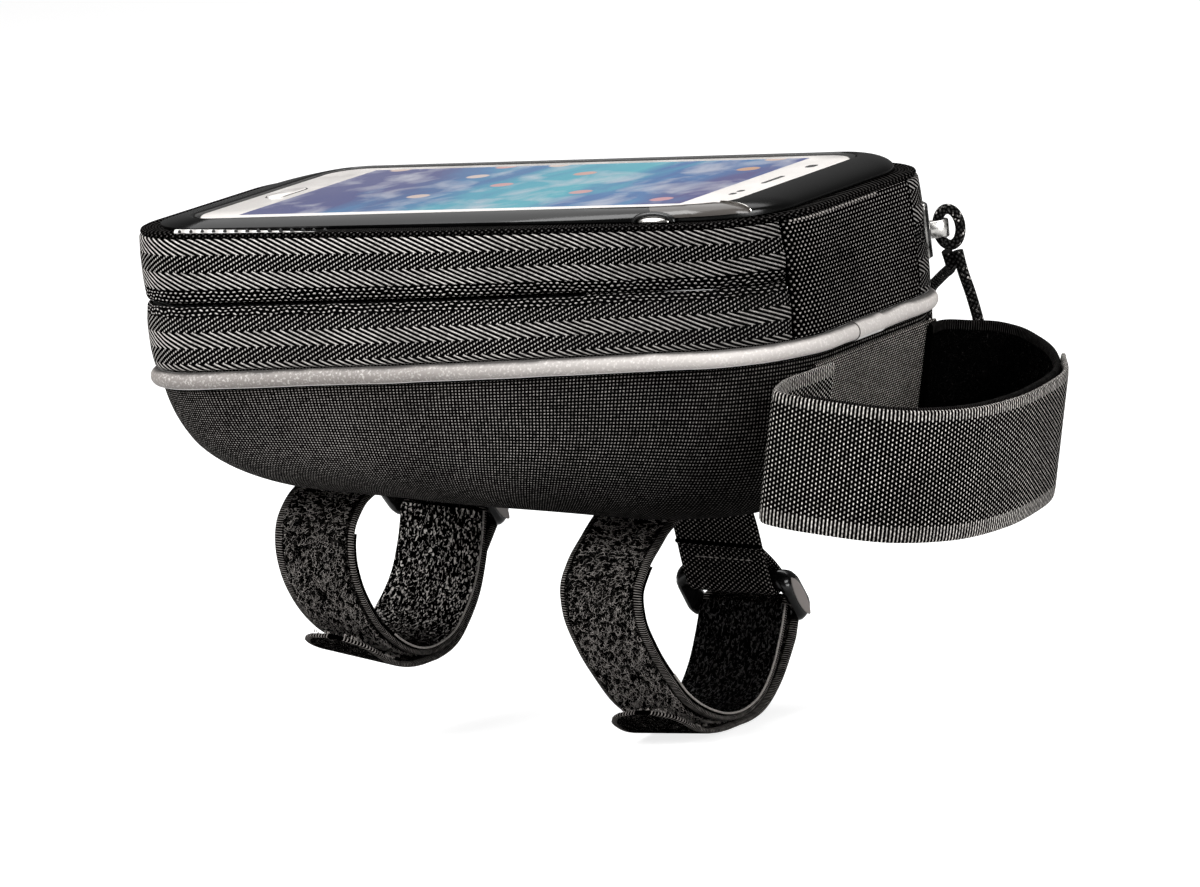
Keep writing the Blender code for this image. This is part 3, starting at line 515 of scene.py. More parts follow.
def white_paper():
    """Matt paper that glows for the camera, so that it fades into the white behind it."""
    finish, tree, shader = new_finish("white_paper", "#b8b8b8", roughness=1.0)
    output = tree.nodes["Material Output"]
    glow = add(tree, "Emission", (1, 1, 1, 1), 0.8)
    lit = add(tree, "AddShader", shader, glow)
    seen = add(tree, "LightPath").outputs
    rays = add(tree, "MAXIMUM", seen["Is Camera Ray"], seen["Is Transmission Ray"])
    mixed = add(tree, "MixShader", rays, shader, lit)
    tree.links.new(mixed.outputs[0], output.inputs["Surface"])
    return finish


floor_z = cad_box[0][2] - floor_drop
floor = skin("studio_floor", [[(-half_floor, -half_floor, floor_z), (-half_floor, half_floor, floor_z)],
                              [(half_floor, -half_floor, floor_z), (half_floor, half_floor, floor_z)]],
             white_paper(), ring=False)
floor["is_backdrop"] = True

sky = bpy.data.worlds.new("studio_sky")
bpy.context.scene.world = sky
sky.use_nodes = True
sky_tree = sky.node_tree
seen = add(sky_tree, "LightPath").outputs["Is Camera Ray"]
strength = add(sky_tree, "MapRange", seen, 0.0, 1.0, 0.11, 1.0)
sky_tree.links.new(strength.outputs[0], sky_tree.nodes["Background"].inputs["Strength"])
sky_tree.nodes["Background"].inputs["Color"].default_value = (1, 1, 1, 1)


def softbox(name, place, size, watts, aim=(0, 0, 0.04)):
    """A lamp behind a sheet of cloth: a bright rectangle turned to the bag."""
    lamp = bpy.data.lights.new(name, "AREA")
    lamp.shape = "RECTANGLE"
    lamp.size, lamp.size_y = size
    lamp.energy = watts
    holder = bpy.data.objects.new(name, lamp)
    holder.location = place
    holder.rotation_euler = (Vector(aim) - Vector(place)).to_track_quat("-Z", "Y").to_euler()
    bpy.context.scene.collection.objects.link(holder)


softbox("key_softbox", (-0.75, -1.1, 1.15), (1.1, 0.8), 25)
softbox("top_softbox", (-0.25, 0.1, 1.4), (2.0, 1.5), 26)
softbox("side_softbox", (1.35, -0.55, 0.5), (0.7, 0.9), 20)
bpy.context.scene.view_settings.view_transform = "Standard"

# %% [markdown]
# ## Moulded shell
# The tray is foam board between two cloths, pressed hot in a mould, so its corners are
# round and its plain-woven polyester face stays fine and flat. One loft is the lining
# and runs up the inside to the rim. The other is the face, down the outside. Slow noise
# moves its points by a quarter of a millimetre, as pressed foam is never quite true.

# %% Finish of the moulded cloth
def laminated_polyester(name, weave_mm, thread, gap_colour, shine, relief_mm):
    """Plain-woven polyester bonded to foam: fine dots of thread over dark gaps, with painted shade near the
    tube and towards the front.
    """
    bottom_shade_height = 0.018
    finish, tree, shader = new_finish(name, roughness=0.6)
    along, across = map_mm(tree)
    warp = wave(tree, along, weave_mm)
    weft = wave(tree, across, weave_mm)
    checks = add(tree, "MULTIPLY", warp, weft)
    height = add(tree, "SeparateXYZ", add(tree, "TexCoord").outputs["Object"]).outputs[2]
    # Painted shade: the threads dim towards the bottom, where the tray faces down to the tube. uneven adds
    # painted shade towards the front.
    painted_bottom_shade = add(tree, "MapRange", height, 0.0, bottom_shade_height, 0.3, 1.0)
    tone_and_painted_shade = uneven(tree, 0.55, 0.2, 1.6, area_mm=26.0, front=0.45)
    painted_shade = add(tree, "MULTIPLY", tone_and_painted_shade, painted_bottom_shade)
    dots = add(tree, "POWER", checks, 0.5)
    dye(tree, shader, dots, gap_colour, thread, painted_shade, shine)
    emboss(tree, shader, checks.outputs[0], relief_mm)
    return finish


shell_finish = laminated_polyester("laminated_polyester_shell", 0.8, "#a09b97", "#030303", 0.35, 0.12)
lining_finish = laminated_polyester("brushed_tricot_lining", 1.1, "#3a3837", "#0c0b0b", 0.15, 0.10)


# %% [markdown]
# ## Shape of the tray
# Each ring is the rim's outline drawn in: the stern by nearly a quarter of an ellipse, the
# front by a straight draft that turns under lower down, the sides by a little. Lofting
# keeps the corners round at every depth, where a bevelled box has one radius throughout.

# %% Shell and lining
under_piping = 0.0015
stern_reach = 0.0287
front_reach = 0.022
side_reach = 0.013
side_draft = 0.14
bottom_corner = 0.029
lining_edge = 0.006


def quarter(t, start, power=2.0):
    """0 until start, then a quarter of an ellipse up to 1, fuller with a higher power."""
    if t <= start:
        return 0.0
    share = (t - start) / (1 - start)
    return 1 - max(0.0, 1 - share ** power) ** (1 / power)


def shell_section(g, extra, lift):
    """One ring of the tray: g is 0 under the piping and 1 at the bottom."""
    left = under_piping + stern_reach * quarter(g, 0.0, 2.3)
    draft = end_draft * g * (ledge_z - bottom_z(half_length))
    right_in = under_piping + draft + front_reach * quarter(g, 0.32)
    side = under_piping + side_draft * g * (ledge_z - bottom_z(0)) + side_reach * quarter(g, 0.55)
    radius = corner_radius - under_piping + (bottom_corner - corner_radius) * g - extra
    least = lining_edge if extra > 0 else 0.0
    left, right_in, side = (max(inset + extra, least) for inset in (left, right_in, side))
    ring = []
    for s in turn_round:
        x, y = outline_point(s, -half_length + left, half_length - right_in, half_width - side,
                             min(radius, half_width - side - 0.002), side_bulge * (1 - g / 2))
        ring.append(world(x, y, ledge_z + g * (bottom_z(x) + lift - ledge_z)))
    return ring


# Unseeded, noise_vector starts from the clock, and every run would ripple another way.
noise.seed_set(3)


def ripple(rows, amount, size, seed):
    """Slow noise on rows of points, so that soft pieces aren't quite true."""
    shift = Vector((seed, seed * 0.7, -seed))
    return [[p + noise.noise_vector(p / size + shift) * amount for p in row] for row in rows]


outer_steps = [(1 - math.cos(math.pi * i / 44)) / 2 for i in range(45)]
inside = [shell_section(g, shell_wall, shell_wall) for g in outer_steps[::-4]]
rim = [[world(*rim_point(s, inset), z) for s in turn_round]
       for inset, z in ((lining_edge, -gap), (0.0034, -gap), (0.0034, ledge_z))]
outside = [shell_section(g, 0.0, 0.0) for g in outer_steps]


def bottom_fan(ring):
    """Smaller and smaller copies of the last ring, which close the flat bottom."""
    middle = sum(ring, Vector()) / len(ring)
    return [[middle + (p - middle) * share for p in ring] for share in (0.75, 0.5, 0.25, 0.02)]


shell_rows = ripple(rim[1:] + outside + bottom_fan(outside[-1]), 0.00025, 0.03, 3)
shell_face = skin("shell_face", shell_rows, shell_finish)
shell_lining = skin("shell_lining", bottom_fan(inside[0])[::-1] + inside + rim[:2], lining_finish)
belongs(shell_face, "base", "shell_cloth", "base_shell")
belongs(shell_lining, "base", "shell_cloth")
print("shell rings:", len(shell_rows))

# %% [markdown]
# ## Reflective piping
# The piping is a plastic cord wrapped in reflective cloth: glass beads in a grey binder,
# a tenth of a millimetre across. Far too fine to model, they show as a sparkle in an even
# grey, so a fine noise lifts single spots. One end laps over the other at the front, with
# a small step where the cloth was cut. Painted light makes the grey paler towards the front,
# a painted highlight pales the lower edge where it catches the table's light, and a painted
# shadow of the wall above darkens the upper edge.

# %% Finish and bead of the piping
def retroreflective_cloth():
    """Glass beads in grey binder: a fine sparkle, painted lighter towards the front and with a painted
    shadow along the top.
    """
    finish, tree, shader = new_finish("retroreflective_bead_cloth", roughness=0.6)
    around = map_mm(tree)[1]
    where = add(tree, "TexCoord").outputs["Object"]
    beads = add(tree, "TexNoise", where, named={"Scale": 1500.0, "Detail": 2.0})
    painted_light_jitter = add(tree, "TexNoise", where, named={"Scale": 90.0, "Detail": 3.0})
    place = add(tree, "SeparateXYZ", where).outputs[0]
    jittered_x = add(tree, "MULTIPLY_ADD", painted_light_jitter, 0.04, place)
    # Painted light: the grey brightens from x = 0 towards the front.
    painted_front_light = add(tree, "MapRange", jittered_x, 0.0, 0.1)
    grey = add(tree, "MixRGB", painted_front_light, linear("#8d8783"), linear("#c9c3bf"))
    spot = add(tree, "MapRange", beads, 0.52, 0.72, 0.0, 0.55)
    sparkle = add(tree, "MixRGB", spot, grey, linear("#f2eeea"))
    # Painted highlight: the lower edge, which catches the table's light, turns near white.
    low_edge = add(tree, "MapRange", around, 5.5, 5.9)
    bright = add(tree, "MixRGB", low_edge, sparkle, linear("#fbf9f7"))
    # Painted shadow of the wall above: a dark band with a ragged edge along the top of the bead.
    reach = add(tree, "MULTIPLY_ADD", painted_light_jitter, -2.4, around)
    painted_shade = add(tree, "MapRange", reach, -0.3, 0.8, 0.85, 0.0)
    shadowed_top = add(tree, "MixRGB", painted_shade, bright, linear("#1d1b1a"))
    tree.links.new(shadowed_top.outputs[0], shader.inputs["Base Color"])
    emboss(tree, shader, beads.outputs[0], 0.05)
    return finish


piping_sides = 24
lap_length = 0.012
lap_share = lap_length / (body_width - 2 * corner_radius)


def piping_ring(s, radius):
    """One ring of the bead; its map starts at the top and runs outwards and down."""
    outer = Vector(rim_point(s % 8, 0.0))
    outward = (outer - Vector(rim_point(s % 8, 0.001))).normalized()
    centre = Vector(rim_point(s % 8, 0.0006))
    ring = []
    for k in range(piping_sides):
        a = 2 * math.pi * k / piping_sides
        flat = centre + outward * radius * math.sin(a)
        ring.append(world(flat.x, flat.y, -piping_radius + radius * math.cos(a)))
    return ring


joint = 7.5
bead_rows = [piping_ring(s, piping_radius - 0.0002) for s in walk(joint, joint + 8 - lap_share)]
lap_rows = [piping_ring(s, piping_radius + 0.0001) for s in walk(joint - lap_share - 0.02, joint + 0.02)]
reflective = retroreflective_cloth()
bead = skin("piping_bead", ripple(bead_rows, 0.00012, 0.012, 5), reflective)
lap = skin("piping_lap", ripple(lap_rows, 0.0001, 0.012, 5), reflective)
belongs(bead, "base", "reflective_piping", "rim_piping")
belongs(lap, "base", "reflective_piping")

# %% [markdown]
# ## Zip tape
# Zip tape is a herringbone twill: fine yarns step over each other so that slanting ridges
# form, and every four millimetres the slant turns round. On the map this is a wave along
# the tape, pushed sideways by a zigzag of the height. In every second band the weft shows
# between the warps and breaks the ridges into beads. Next to the slit the tape is knitted
# loosely, so the coil behind it can flex.

# %% Finish of the tape
def herringbone_tape(name, knit_mm, band_mm, first_solid, thread, faded):
    """Twill bands from knit_mm above the slit, each band_mm high, and loose knitting below them."""
    slant = 2.17
    ridge_mm = 2.61
    bead_mm = 0.87
    course_mm = 0.9
    dash_mm = 1.75
    finish, tree, shader = new_finish(name, roughness=0.55)
    along, height = map_mm(tree)
    lift = add(tree, "SUBTRACT", height, knit_mm)
    zigzag = add(tree, "PINGPONG", lift, band_mm)
    push = add(tree, "MULTIPLY_ADD", zigzag, slant, along)
    ridge = wave(tree, push, ridge_mm)
    band = add(tree, "FLOOR", add(tree, "DIVIDE", lift, band_mm))
    parity = add(tree, "ABSOLUTE", add(tree, "MODULO", band, 2.0))
    beaded = parity if first_solid else add(tree, "SUBTRACT", 1.0, parity)
    beads = wave(tree, along, bead_mm)
    dots = add(tree, "MapRange", beads, 0.1, 0.7, 0.25, 1.0)
    broken = add(tree, "MULTIPLY", ridge, dots)
    twill = add(tree, "Mix", beaded, named={2: ridge, 3: broken}, data_type="FLOAT")
    where = add(tree, "TexCoord").outputs["Object"]
    slack = add(tree, "TexNoise", where, named={"Scale": 330.0, "Detail": 1.0})
    drawn = add(tree, "MULTIPLY_ADD", slack, 1.5, height)
    course = add(tree, "FLOOR", add(tree, "DIVIDE", drawn, course_mm))
    loose = add(tree, "MULTIPLY_ADD", slack, 1.2, along)
    stagger = add(tree, "MULTIPLY_ADD", course, 0.8, loose)
    dashes = add(tree, "MULTIPLY_ADD", wave(tree, stagger, dash_mm), 0.85, 0.25)
    knit = add(tree, "MULTIPLY", wave(tree, drawn, course_mm), dashes)
    in_twill = add(tree, "MapRange", lift, -0.15, 0.15)
    relief = add(tree, "Mix", in_twill, named={2: knit.outputs[0], 3: twill.outputs[0]}, data_type="FLOAT")
    # uneven dims these threads with painted shade towards the front.
    dye(tree, shader, relief, faded, thread, uneven(tree, 0.9, 0.6, 1.25, front=0.5))
    emboss(tree, shader, relief.outputs[0], 0.3)
    return finish


upper_tape_finish = herringbone_tape("upper_herringbone_tape", 3.7, 4.2, True, "#d6d1cd", "#020202")
lower_tape_finish = herringbone_tape("lower_herringbone_tape", 2.7, 3.85, False, "#d2cdc9", "#050505")


# %% [markdown]
# ## Sewn walls
# Tapes and gusset stand on the rim as sewn walls. Each top turns in under the lid, the
# slit edge folds round the coil, and near the gusset the cloth puckers. A cloth simulation
# could find such folds, but a wall sewn along both edges has hardly any slack, so a
# formula for its belly, pucker and grooves is quicker and keeps the seams in place.

# %% Walls of tape
wall_thickness = 0.001
fold = 0.0007
slit_half = 0.0005
shut_half = 0.00008
slit_shut_x = 0.042


def wall_section(s, edge_z, far_z, proud):
    """One section of a wall, from its slit edge over its face to the far edge and back inside."""
    way = 1 if far_z > edge_z else -1
    tall = abs(far_z - edge_z)
    face = [fold + (tall - 2 * fold) * i / 8 for i in range(9)]
    outer = [(fold, 0.0), (0.3 * fold, 0.3 * fold)] + [(0.0, t) for t in face]
    outer += [(0.3 * fold, tall - 0.3 * fold), (fold, tall)]
    back_face = [(wall_thickness + 0.2 * fold, tall - fold), (wall_thickness + 0.2 * fold, fold)]
    section = []
    for k, (inset, t) in enumerate(outer + back_face):
        belly = proud(s, t / tall) if k < len(outer) else 0.0
        section.append(world(*rim_point(s % 8, inset - belly), edge_z + way * t))
    return section


def wall(name, start, end, edge, far, finish, proud):
    """A sewn wall along the rim: edge and far give its heights at x, and proud its swelling."""
    rows = []
    for s in walk(start, end, corner=40, side=90, front=30):
        x = rim_point(s % 8, 0.0)[0]
        rows.append(wall_section(s, edge(x), far(x), proud))
    return skin(name, rows, finish, sharp=60)


def from_seam(s):
    """Distance in metres along the corner to the seam between tape and gusset."""
    return abs(s - near_seam) * corner_arc


def tape_swell(s, share):
    """The tape's belly, its pucker near the gusset and the groove at that seam."""
    away = from_seam(s)
    belly = 0.00035 * math.sin(math.pi * share)
    wrinkle = noise.noise(Vector((s * 9.0, share * 2.2, 4.0))) * 0.00025
    pucker = 0.0009 * math.exp(-away / 0.03) * math.sin(away * 420 + 4 * share)
    groove = 0.0009 * math.exp(-(away / 0.0012) ** 2)
    return belly + (wrinkle + pucker) * math.sin(math.pi * share) - groove


def lower_swell(s, share):
    """The lower tape bulges a little more at the rear end, where the tray pushes it out."""
    rear = max(0.0, 1 - abs(s - 3.5) / 1.5)
    return tape_swell(s, share) + 0.0008 * rear * math.sin(math.pi * share)


def gusset_swell(s, share):
    """The gusset stands a little proud beside its seam and lies flat at the far one."""
    away = from_seam(s)
    fold_over = 0.0005 * math.exp(-(away - 0.0025) ** 2 / 0.0018 ** 2)
    groove = 0.0009 * math.exp(-(away / 0.0008) ** 2)
    belly = 0.0004 * math.sin(math.pi * share)
    return belly + fold_over - groove


def half_slit(x):
    """The slit shows along the rear and is drawn shut from there to the gusset."""
    return slit_half if x < slit_shut_x else shut_half


def under_slit(x):
    return slit_z(x) - half_slit(x)


def over_slit(x):
    return slit_z(x) + half_slit(x)


def under_lid(x):
    return wall_top(x) - 0.0001


def over_piping(x):
    return 0.0001


end_step = gap / corner_arc
belongs(wall("lower_tape_cloth", end_step, near_seam - end_step, under_slit, over_piping,
             lower_tape_finish, lower_swell), "base", "tape_cloth", "lower_zip_tape")
belongs(wall("upper_tape_cloth", free_tape + end_step, near_seam - end_step, over_slit, under_lid,
             upper_tape_finish, tape_swell), "lid", "tape_cloth", "upper_zip_tape")
belongs(wall("free_tape_cloth", end_step, free_tape - end_step, over_slit, under_lid,
             upper_tape_finish, tape_swell), "base", "tape_cloth", "free_tape_end")

# %% [markdown]
# ## Gusset
# The gusset at the front is a plain weave of thick yarns, about a millimetre apart: each
# crossing shows as one bright bead on black. Multiplying two waves gives the beads, and
# shifting every other row by half a step gives the brick order of a real plain weave.

# %% Coarse plain weave
def plain_weave(name, yarn_mm, thread, shadow, relief_mm):
    """Thick yarns in a plain weave: rows of beads in brick order, each with its own light."""
    finish, tree, shader = new_finish(name, roughness=0.65)
    along, across = map_mm(tree)
    row = add(tree, "FLOOR", add(tree, "MULTIPLY", across, 1 / yarn_mm))
    odd = add(tree, "FLOORED_MODULO", row, 2.0)
    shifted = add(tree, "MULTIPLY_ADD", odd, yarn_mm * 0.75, along)
    beads = wave(tree, shifted, yarn_mm * 1.5)
    half_turns = add(tree, "MULTIPLY", across, math.pi / yarn_mm)
    rows = add(tree, "SINE", half_turns)
    height = add(tree, "MULTIPLY", beads, add(tree, "ABSOLUTE", rows))
    dye(tree, shader, height, shadow, thread, uneven(tree, 1.2, 0.5, 1.3))
    emboss(tree, shader, height.outputs[0], relief_mm)
    return finish


gusset_finish = plain_weave("coarse_plain_weave", 1.0, "#a8a39f", "#020202", 0.35)
belongs(wall("gusset_cloth", near_seam + end_step, 8 - end_step, over_piping, under_lid,
             gusset_finish, gusset_swell), "base", "gusset_cloth", "front_gusset")

# %% [markdown]
# ## Lid
# The lid is a stiff frame, sewn into a band of cloth along the top of the zip. The cloth
# band turns over a cord of thread at its edge, so it reads as a soft black lip. The sewn
# flange of the window film peeps out at the rear near corner, held down by a row of black
# stitches, and sinks into the cloth towards the front. Its pale line is a painted highlight.

# %% Cloth band of the lid
phone_length = 0.151
phone_width = 0.079
phone_corner = 0.0095
window_length = 0.154
window_width = 0.082
window_corner = 0.0105
border_thickness = 0.0012
foot_z = border_thickness + gap
frame_rise = 0.0030
frame_top_z = foot_z + frame_rise
film_top_z = frame_top_z - 0.0001
film_thickness = 0.0002
phone_top_z = film_top_z - film_thickness - 0.0001
lid_tilt = 0.0065


def on_lid(x, y, z):
    """A place above the wall's top. The frame's top is tilted a little against its foot."""
    share = max(0.0, (z - foot_z) / (frame_top_z - foot_z))
    return world(x, y, wall_top(x) + z + lid_tilt * x * share)


def lid_ring(length, width, radius, z):
    """A rounded rectangle about the lid's middle, at a height above the wall's top."""
    return [on_lid(*outline_point(s, -length / 2, length / 2, width / 2, radius), z) for s in turn_round]


def on_wall(s, inset, z):
    """A place by its distance in from the rim and its height above the wall's top."""
    x, y = rim_point(s, inset)
    return world(x, y, wall_top(x) + z)


def border_ring(inset, z):
    return [on_wall(s, inset, z) for s in turn_round]


cloth_edge = [border_ring(inset, z) for inset, z in (
    (0.0016, 0.0), (0.0006, 0.0001), (0.0003, 0.0005), (0.0005, 0.0010), (0.0011, 0.00125), (0.003, 0.0012))]
band_inner = [lid_ring(phone_length + 0.005, phone_width + 0.005, phone_corner + 0.002, z)
              for z in (border_thickness, 0.0)]
band_finish = plain_weave("lid_band_cloth", 0.9, "#3d3a38", "#020202", 0.2)
lid_band = skin("lid_band_cloth", cloth_edge + band_inner, band_finish, closed=True)
belongs(lid_band, "lid", "shell_cloth", "lid_border")


# %% [markdown]
# ## Stitches
# Thread that stands on cloth catches light along its back, which a bump can't do where
# the light grazes it. Each stitch is a small lens-shaped tube, arched up between its holes.

# %% Stitches and flange of the lid
def stitch_row(name, places, up_way, thread_mm, finish):
    """One small lens-shaped stitch between each pair of places, standing on the cloth."""
    points, faces = [], []
    sides, rings = 6, 5
    for start, end in places:
        run_way = end - start
        across = run_way.normalized().cross(up_way).normalized()
        first = len(points)
        for i in range(rings):
            share = i / (rings - 1)
            arch = math.sin(math.pi * share)
            centre = start + run_way * share + up_way * arch * thread_mm * 0.0004
            wide = (0.25 + 0.75 * arch) * thread_mm * 0.0005
            for k in range(sides):
                a = 2 * math.pi * k / sides
                points.append(centre + (across * math.cos(a) + up_way * math.sin(a)) * wide)
        faces += ring_faces(first, rings, sides)
        faces.append(tuple(first + k for k in range(sides))[::-1])
        faces.append(tuple(first + (rings - 1) * sides + k for k in range(sides)))
    mesh = bpy.data.meshes.new(name)
    mesh.from_pydata([tuple(p) for p in points], [], faces)
    return finished(name, mesh, finish, 60)


def polyester_thread(name, colour):
    """Bonded polyester thread: smooth, tightly twisted, with a soft shine."""
    finish, tree, shader = new_finish(name, colour, roughness=0.5)
    where = add(tree, "TexCoord").outputs["Object"]
    twist = add(tree, "TexNoise", where, named={"Scale": 2500.0, "Detail": 0.0})
    shade = add(tree, "MapRange", twist, 0.3, 0.7, 0.0, 0.5)
    mixed = add(tree, "MixRGB", shade, linear(colour), linear("#050505"))
    tree.links.new(mixed.outputs[0], shader.inputs["Base Color"])
    return finish


black_thread = polyester_thread("black_bonded_thread", "#1a1918")
grey_thread = polyester_thread("pale_bonded_thread", "#a29c97")


def near_edge(x, inset, z):
    """A place over the near side by its distance in from the rim."""
    swell = side_bulge * math.cos(math.pi * x / (body_length - 2 * corner_radius)) ** 2
    return world(x, -(half_width - inset + swell), wall_top(x) + z)


def flange_painted_highlight():
    """The film's welded edge: its pale colour is a painted highlight, in bright dashes between the stitches.
    """
    finish, tree, shader = new_finish("flange_painted_highlight_finish", "#d9d6d3", roughness=0.35)
    along = map_mm(tree)[0]
    highlight_dashes = wave(tree, along, 3.3)
    colour = add(tree, "MixRGB", highlight_dashes, linear("#a8a4a1"), linear("#f1efed"))
    tree.links.new(colour.outputs[0], shader.inputs["Base Color"])
    return finish


flange_start, flange_end = -0.0745, -0.027
flange_height = 0.0015
flange_path = []
for i in range(48):
    x = flange_start + (flange_end - flange_start) * i / 47
    sink = 0.0012 * (i / 47) ** 1.2
    flange_path.append(near_edge(x, 0.0021, flange_height - sink))
flange = skin("film_flange", tube_rows(flange_path, 0.00075, 8), flange_painted_highlight())
belongs(flange, "lid", "clear_film")

stitch_pitch = 0.0033
stitch_length = 0.0012
flange_ends = []
for i in range(14):
    x = -0.0735 + stitch_pitch * i
    flange_ends.append([near_edge(along, 0.0016, flange_height) for along in (x, x + stitch_length)])
flange_stitches = stitch_row("film_flange_stitches", flange_ends, Vector((0, -0.4, 0.92)), 0.9, black_thread)
belongs(flange_stitches, "lid", "shell_cloth")

# These pale stitches also stand for a painted highlight along the gusset's top edge.
gusset_ends = []
for i in range(26):
    s = near_seam + 0.05 + 0.036 * i
    gusset_ends.append([on_wall(s + step, -0.0004, -0.0004) for step in (0.0, 0.022)])
gusset_up = Vector((0.7, -0.5, 0.5)).normalized()
gusset_stitches = stitch_row("gusset_top_stitches", gusset_ends, gusset_up, 0.6, grey_thread)
belongs(gusset_stitches, "base", "gusset_cloth")

# %% [markdown]
# ## Frame, film and phone
# The frame is injection-moulded ABS with a satin texture: black, yet its round shoulder
# carries a soft grey gradient of the lamp above, which only a smooth mesh with enough
# sections can show. The film is thin clear polyurethane, so it dims nothing and adds one
# broad reflection. The phone is a plain white slab. Its picture is a generic field of
# blue and teal cloud with a sparse grid of dots, made of noise stretched across the phone.

# %% Moulded frame
def moulded_abs(name, colour, roughness, grain_mm, shine=0.5):
    """Plastic from a spark-eroded mould: a fine even grain under faint smudges."""
    finish, tree, shader = new_finish(name, colour, Specular_IOR_Level=shine)
    where = add(tree, "TexCoord").outputs["Object"]
    grain = add(tree, "TexNoise", where, named={"Scale": 1000 / grain_mm, "Detail": 2.0})
    smudge(tree, shader, 60.0, 3.0, roughness - 0.05, roughness + 0.08)
    emboss(tree, shader, grain.outputs[0], 0.012)
    return finish


frame_finish = moulded_abs("moulded_satin_abs", "#030303", 0.16, 0.5, 0.35)
foot_length = body_length - 2 * 0.0058
foot_width = body_width - 2 * 0.0046
frame_corner = 0.02
foot_height = 0.0006
flat_rim = 0.001


def slope_point(s, inward, rise, proud):
    """A place over the frame's slope by its share of the way in and of the way up."""
    length = foot_length + (window_length + flat_rim - foot_length) * inward + 2 * proud
    width = foot_width + (window_width + flat_rim - foot_width) * inward + 2 * proud
    radius = frame_corner + (window_corner - frame_corner) * inward
    x, y = outline_point(s, -length / 2, length / 2, width / 2, radius)
    return on_lid(x, y, foot_z + foot_height + (frame_rise - foot_height) * rise + proud)


def shoulder_point(s, turn_degrees, proud=0.0):
    """The slope from its foot at 0 to the window at 90: nearly flat at the rear, round in front."""
    a = math.radians(turn_degrees)
    round_one = slope_point(s, 1 - math.cos(a), math.sin(a), proud)
    flat_one = slope_point(s, turn_degrees / 90, turn_degrees / 90, proud)
    run = min(1.0, max(0.0, (round_one.x - 0.01) / 0.07))
    bulge = 0.25 + 0.75 * run * run * (3 - 2 * run)
    return round_one * bulge + flat_one * (1 - bulge)


frame_rows = [[shoulder_point(s, 90 * i / 16) for s in turn_round] for i in range(17)]
seat_z = film_top_z - film_thickness - gap
window = (window_length, window_width, window_corner)
pocket = (phone_length + 0.0046, phone_width + 0.0046, phone_corner + 0.002)
foot = (foot_length, foot_width, frame_corner)
frame_rows += [lid_ring(*size, z) for size, z in (
    (window, frame_top_z - 0.0003), (window, seat_z), (pocket, seat_z), (pocket, foot_z), (foot, foot_z))]
lid_frame = skin("lid_frame_moulding", frame_rows, frame_finish, closed=True, sharp=35)
belongs(lid_frame, "lid", "moulded_frame", "lid_frame")


# %% [markdown]
# ## Window film
# A clear film closes the frame's window. It is one thin sheet; a low alpha keeps the
# phone in sight and slow waves bend what it mirrors, as cast film is never quite flat.

# %% Film of the window
def clear_polyurethane():
    """Cast clear film: nearly invisible face on, with slow waves in what it mirrors."""
    finish, tree, shader = new_finish("clear_cast_polyurethane", "#ffffff", roughness=0.12,
                                      Alpha=0.03, IOR=1.48, Specular_IOR_Level=0.2)
    where = add(tree, "TexCoord").outputs["Object"]
    ease = add(tree, "TexNoise", where, named={"Scale": 22.0, "Detail": 1.0})
    emboss(tree, shader, ease.outputs[0], 0.15)
    finish.surface_render_method = "BLENDED"
    return finish


film_rows = [lid_ring(window_length - inset, window_width - inset, window_corner - inset / 2, z)
             for inset, z in ((0.0008, film_top_z - film_thickness), (0.0006, film_top_z - 0.0001),
                              (0.0012, film_top_z))]
film = skin("window_film_sheet", film_rows, clear_polyurethane(), sharp=60)
belongs(film, "lid", "clear_film", "window_film")


# %% [markdown]
# ## Phone
# The phone lies under the film, so only its glass and its upper edge show. Rings of
# growing and shrinking size round its edges as a bevel would, and follow the lid's tilt.

# %% Body of the phone
def glazed_white():
    """White back-painted glass in a polycarbonate rim: clean, glossy, faintly warm."""
    finish, tree, shader = new_finish("back_painted_white_glass", "#f1ece8")
    smudge(tree, shader, 70.0, 4.0, 0.12, 0.3, spots=(0.4, 0.8))
    return finish


def phone_ring(cut, z):
    return lid_ring(phone_length - 2 * cut, phone_width - 2 * cut, phone_corner - cut, z)


phone_thickness = 0.0079
phone_bottom = phone_top_z - phone_thickness
back_round = 0.002
face_round = 0.0008
phone_rows = []
for degrees in (0, 18, 36, 54, 72, 90):
    a = math.radians(degrees)
    z = phone_bottom + back_round * (1 - math.cos(a))
    phone_rows.append(phone_ring(back_round * (1 - math.sin(a)), z))
for degrees in (0, 22, 45, 68, 90):
    a = math.radians(degrees)
    z = phone_top_z - face_round * (1 - math.sin(a))
    phone_rows.append(phone_ring(face_round * (1 - math.cos(a)), z))
white_glass = glazed_white()
phone = skin("phone_slab", phone_rows, white_glass, sharp=60)
belongs(phone, "lid", "phone_white", "phone_body")


# %% [markdown]
# ## The phone's picture
# The lit picture is a sheet just over the glass that gives off light of its own. Noise
# through a colour ramp makes its clouds, and discs in some cells of a grid its icons, so
# no picture file is needed.

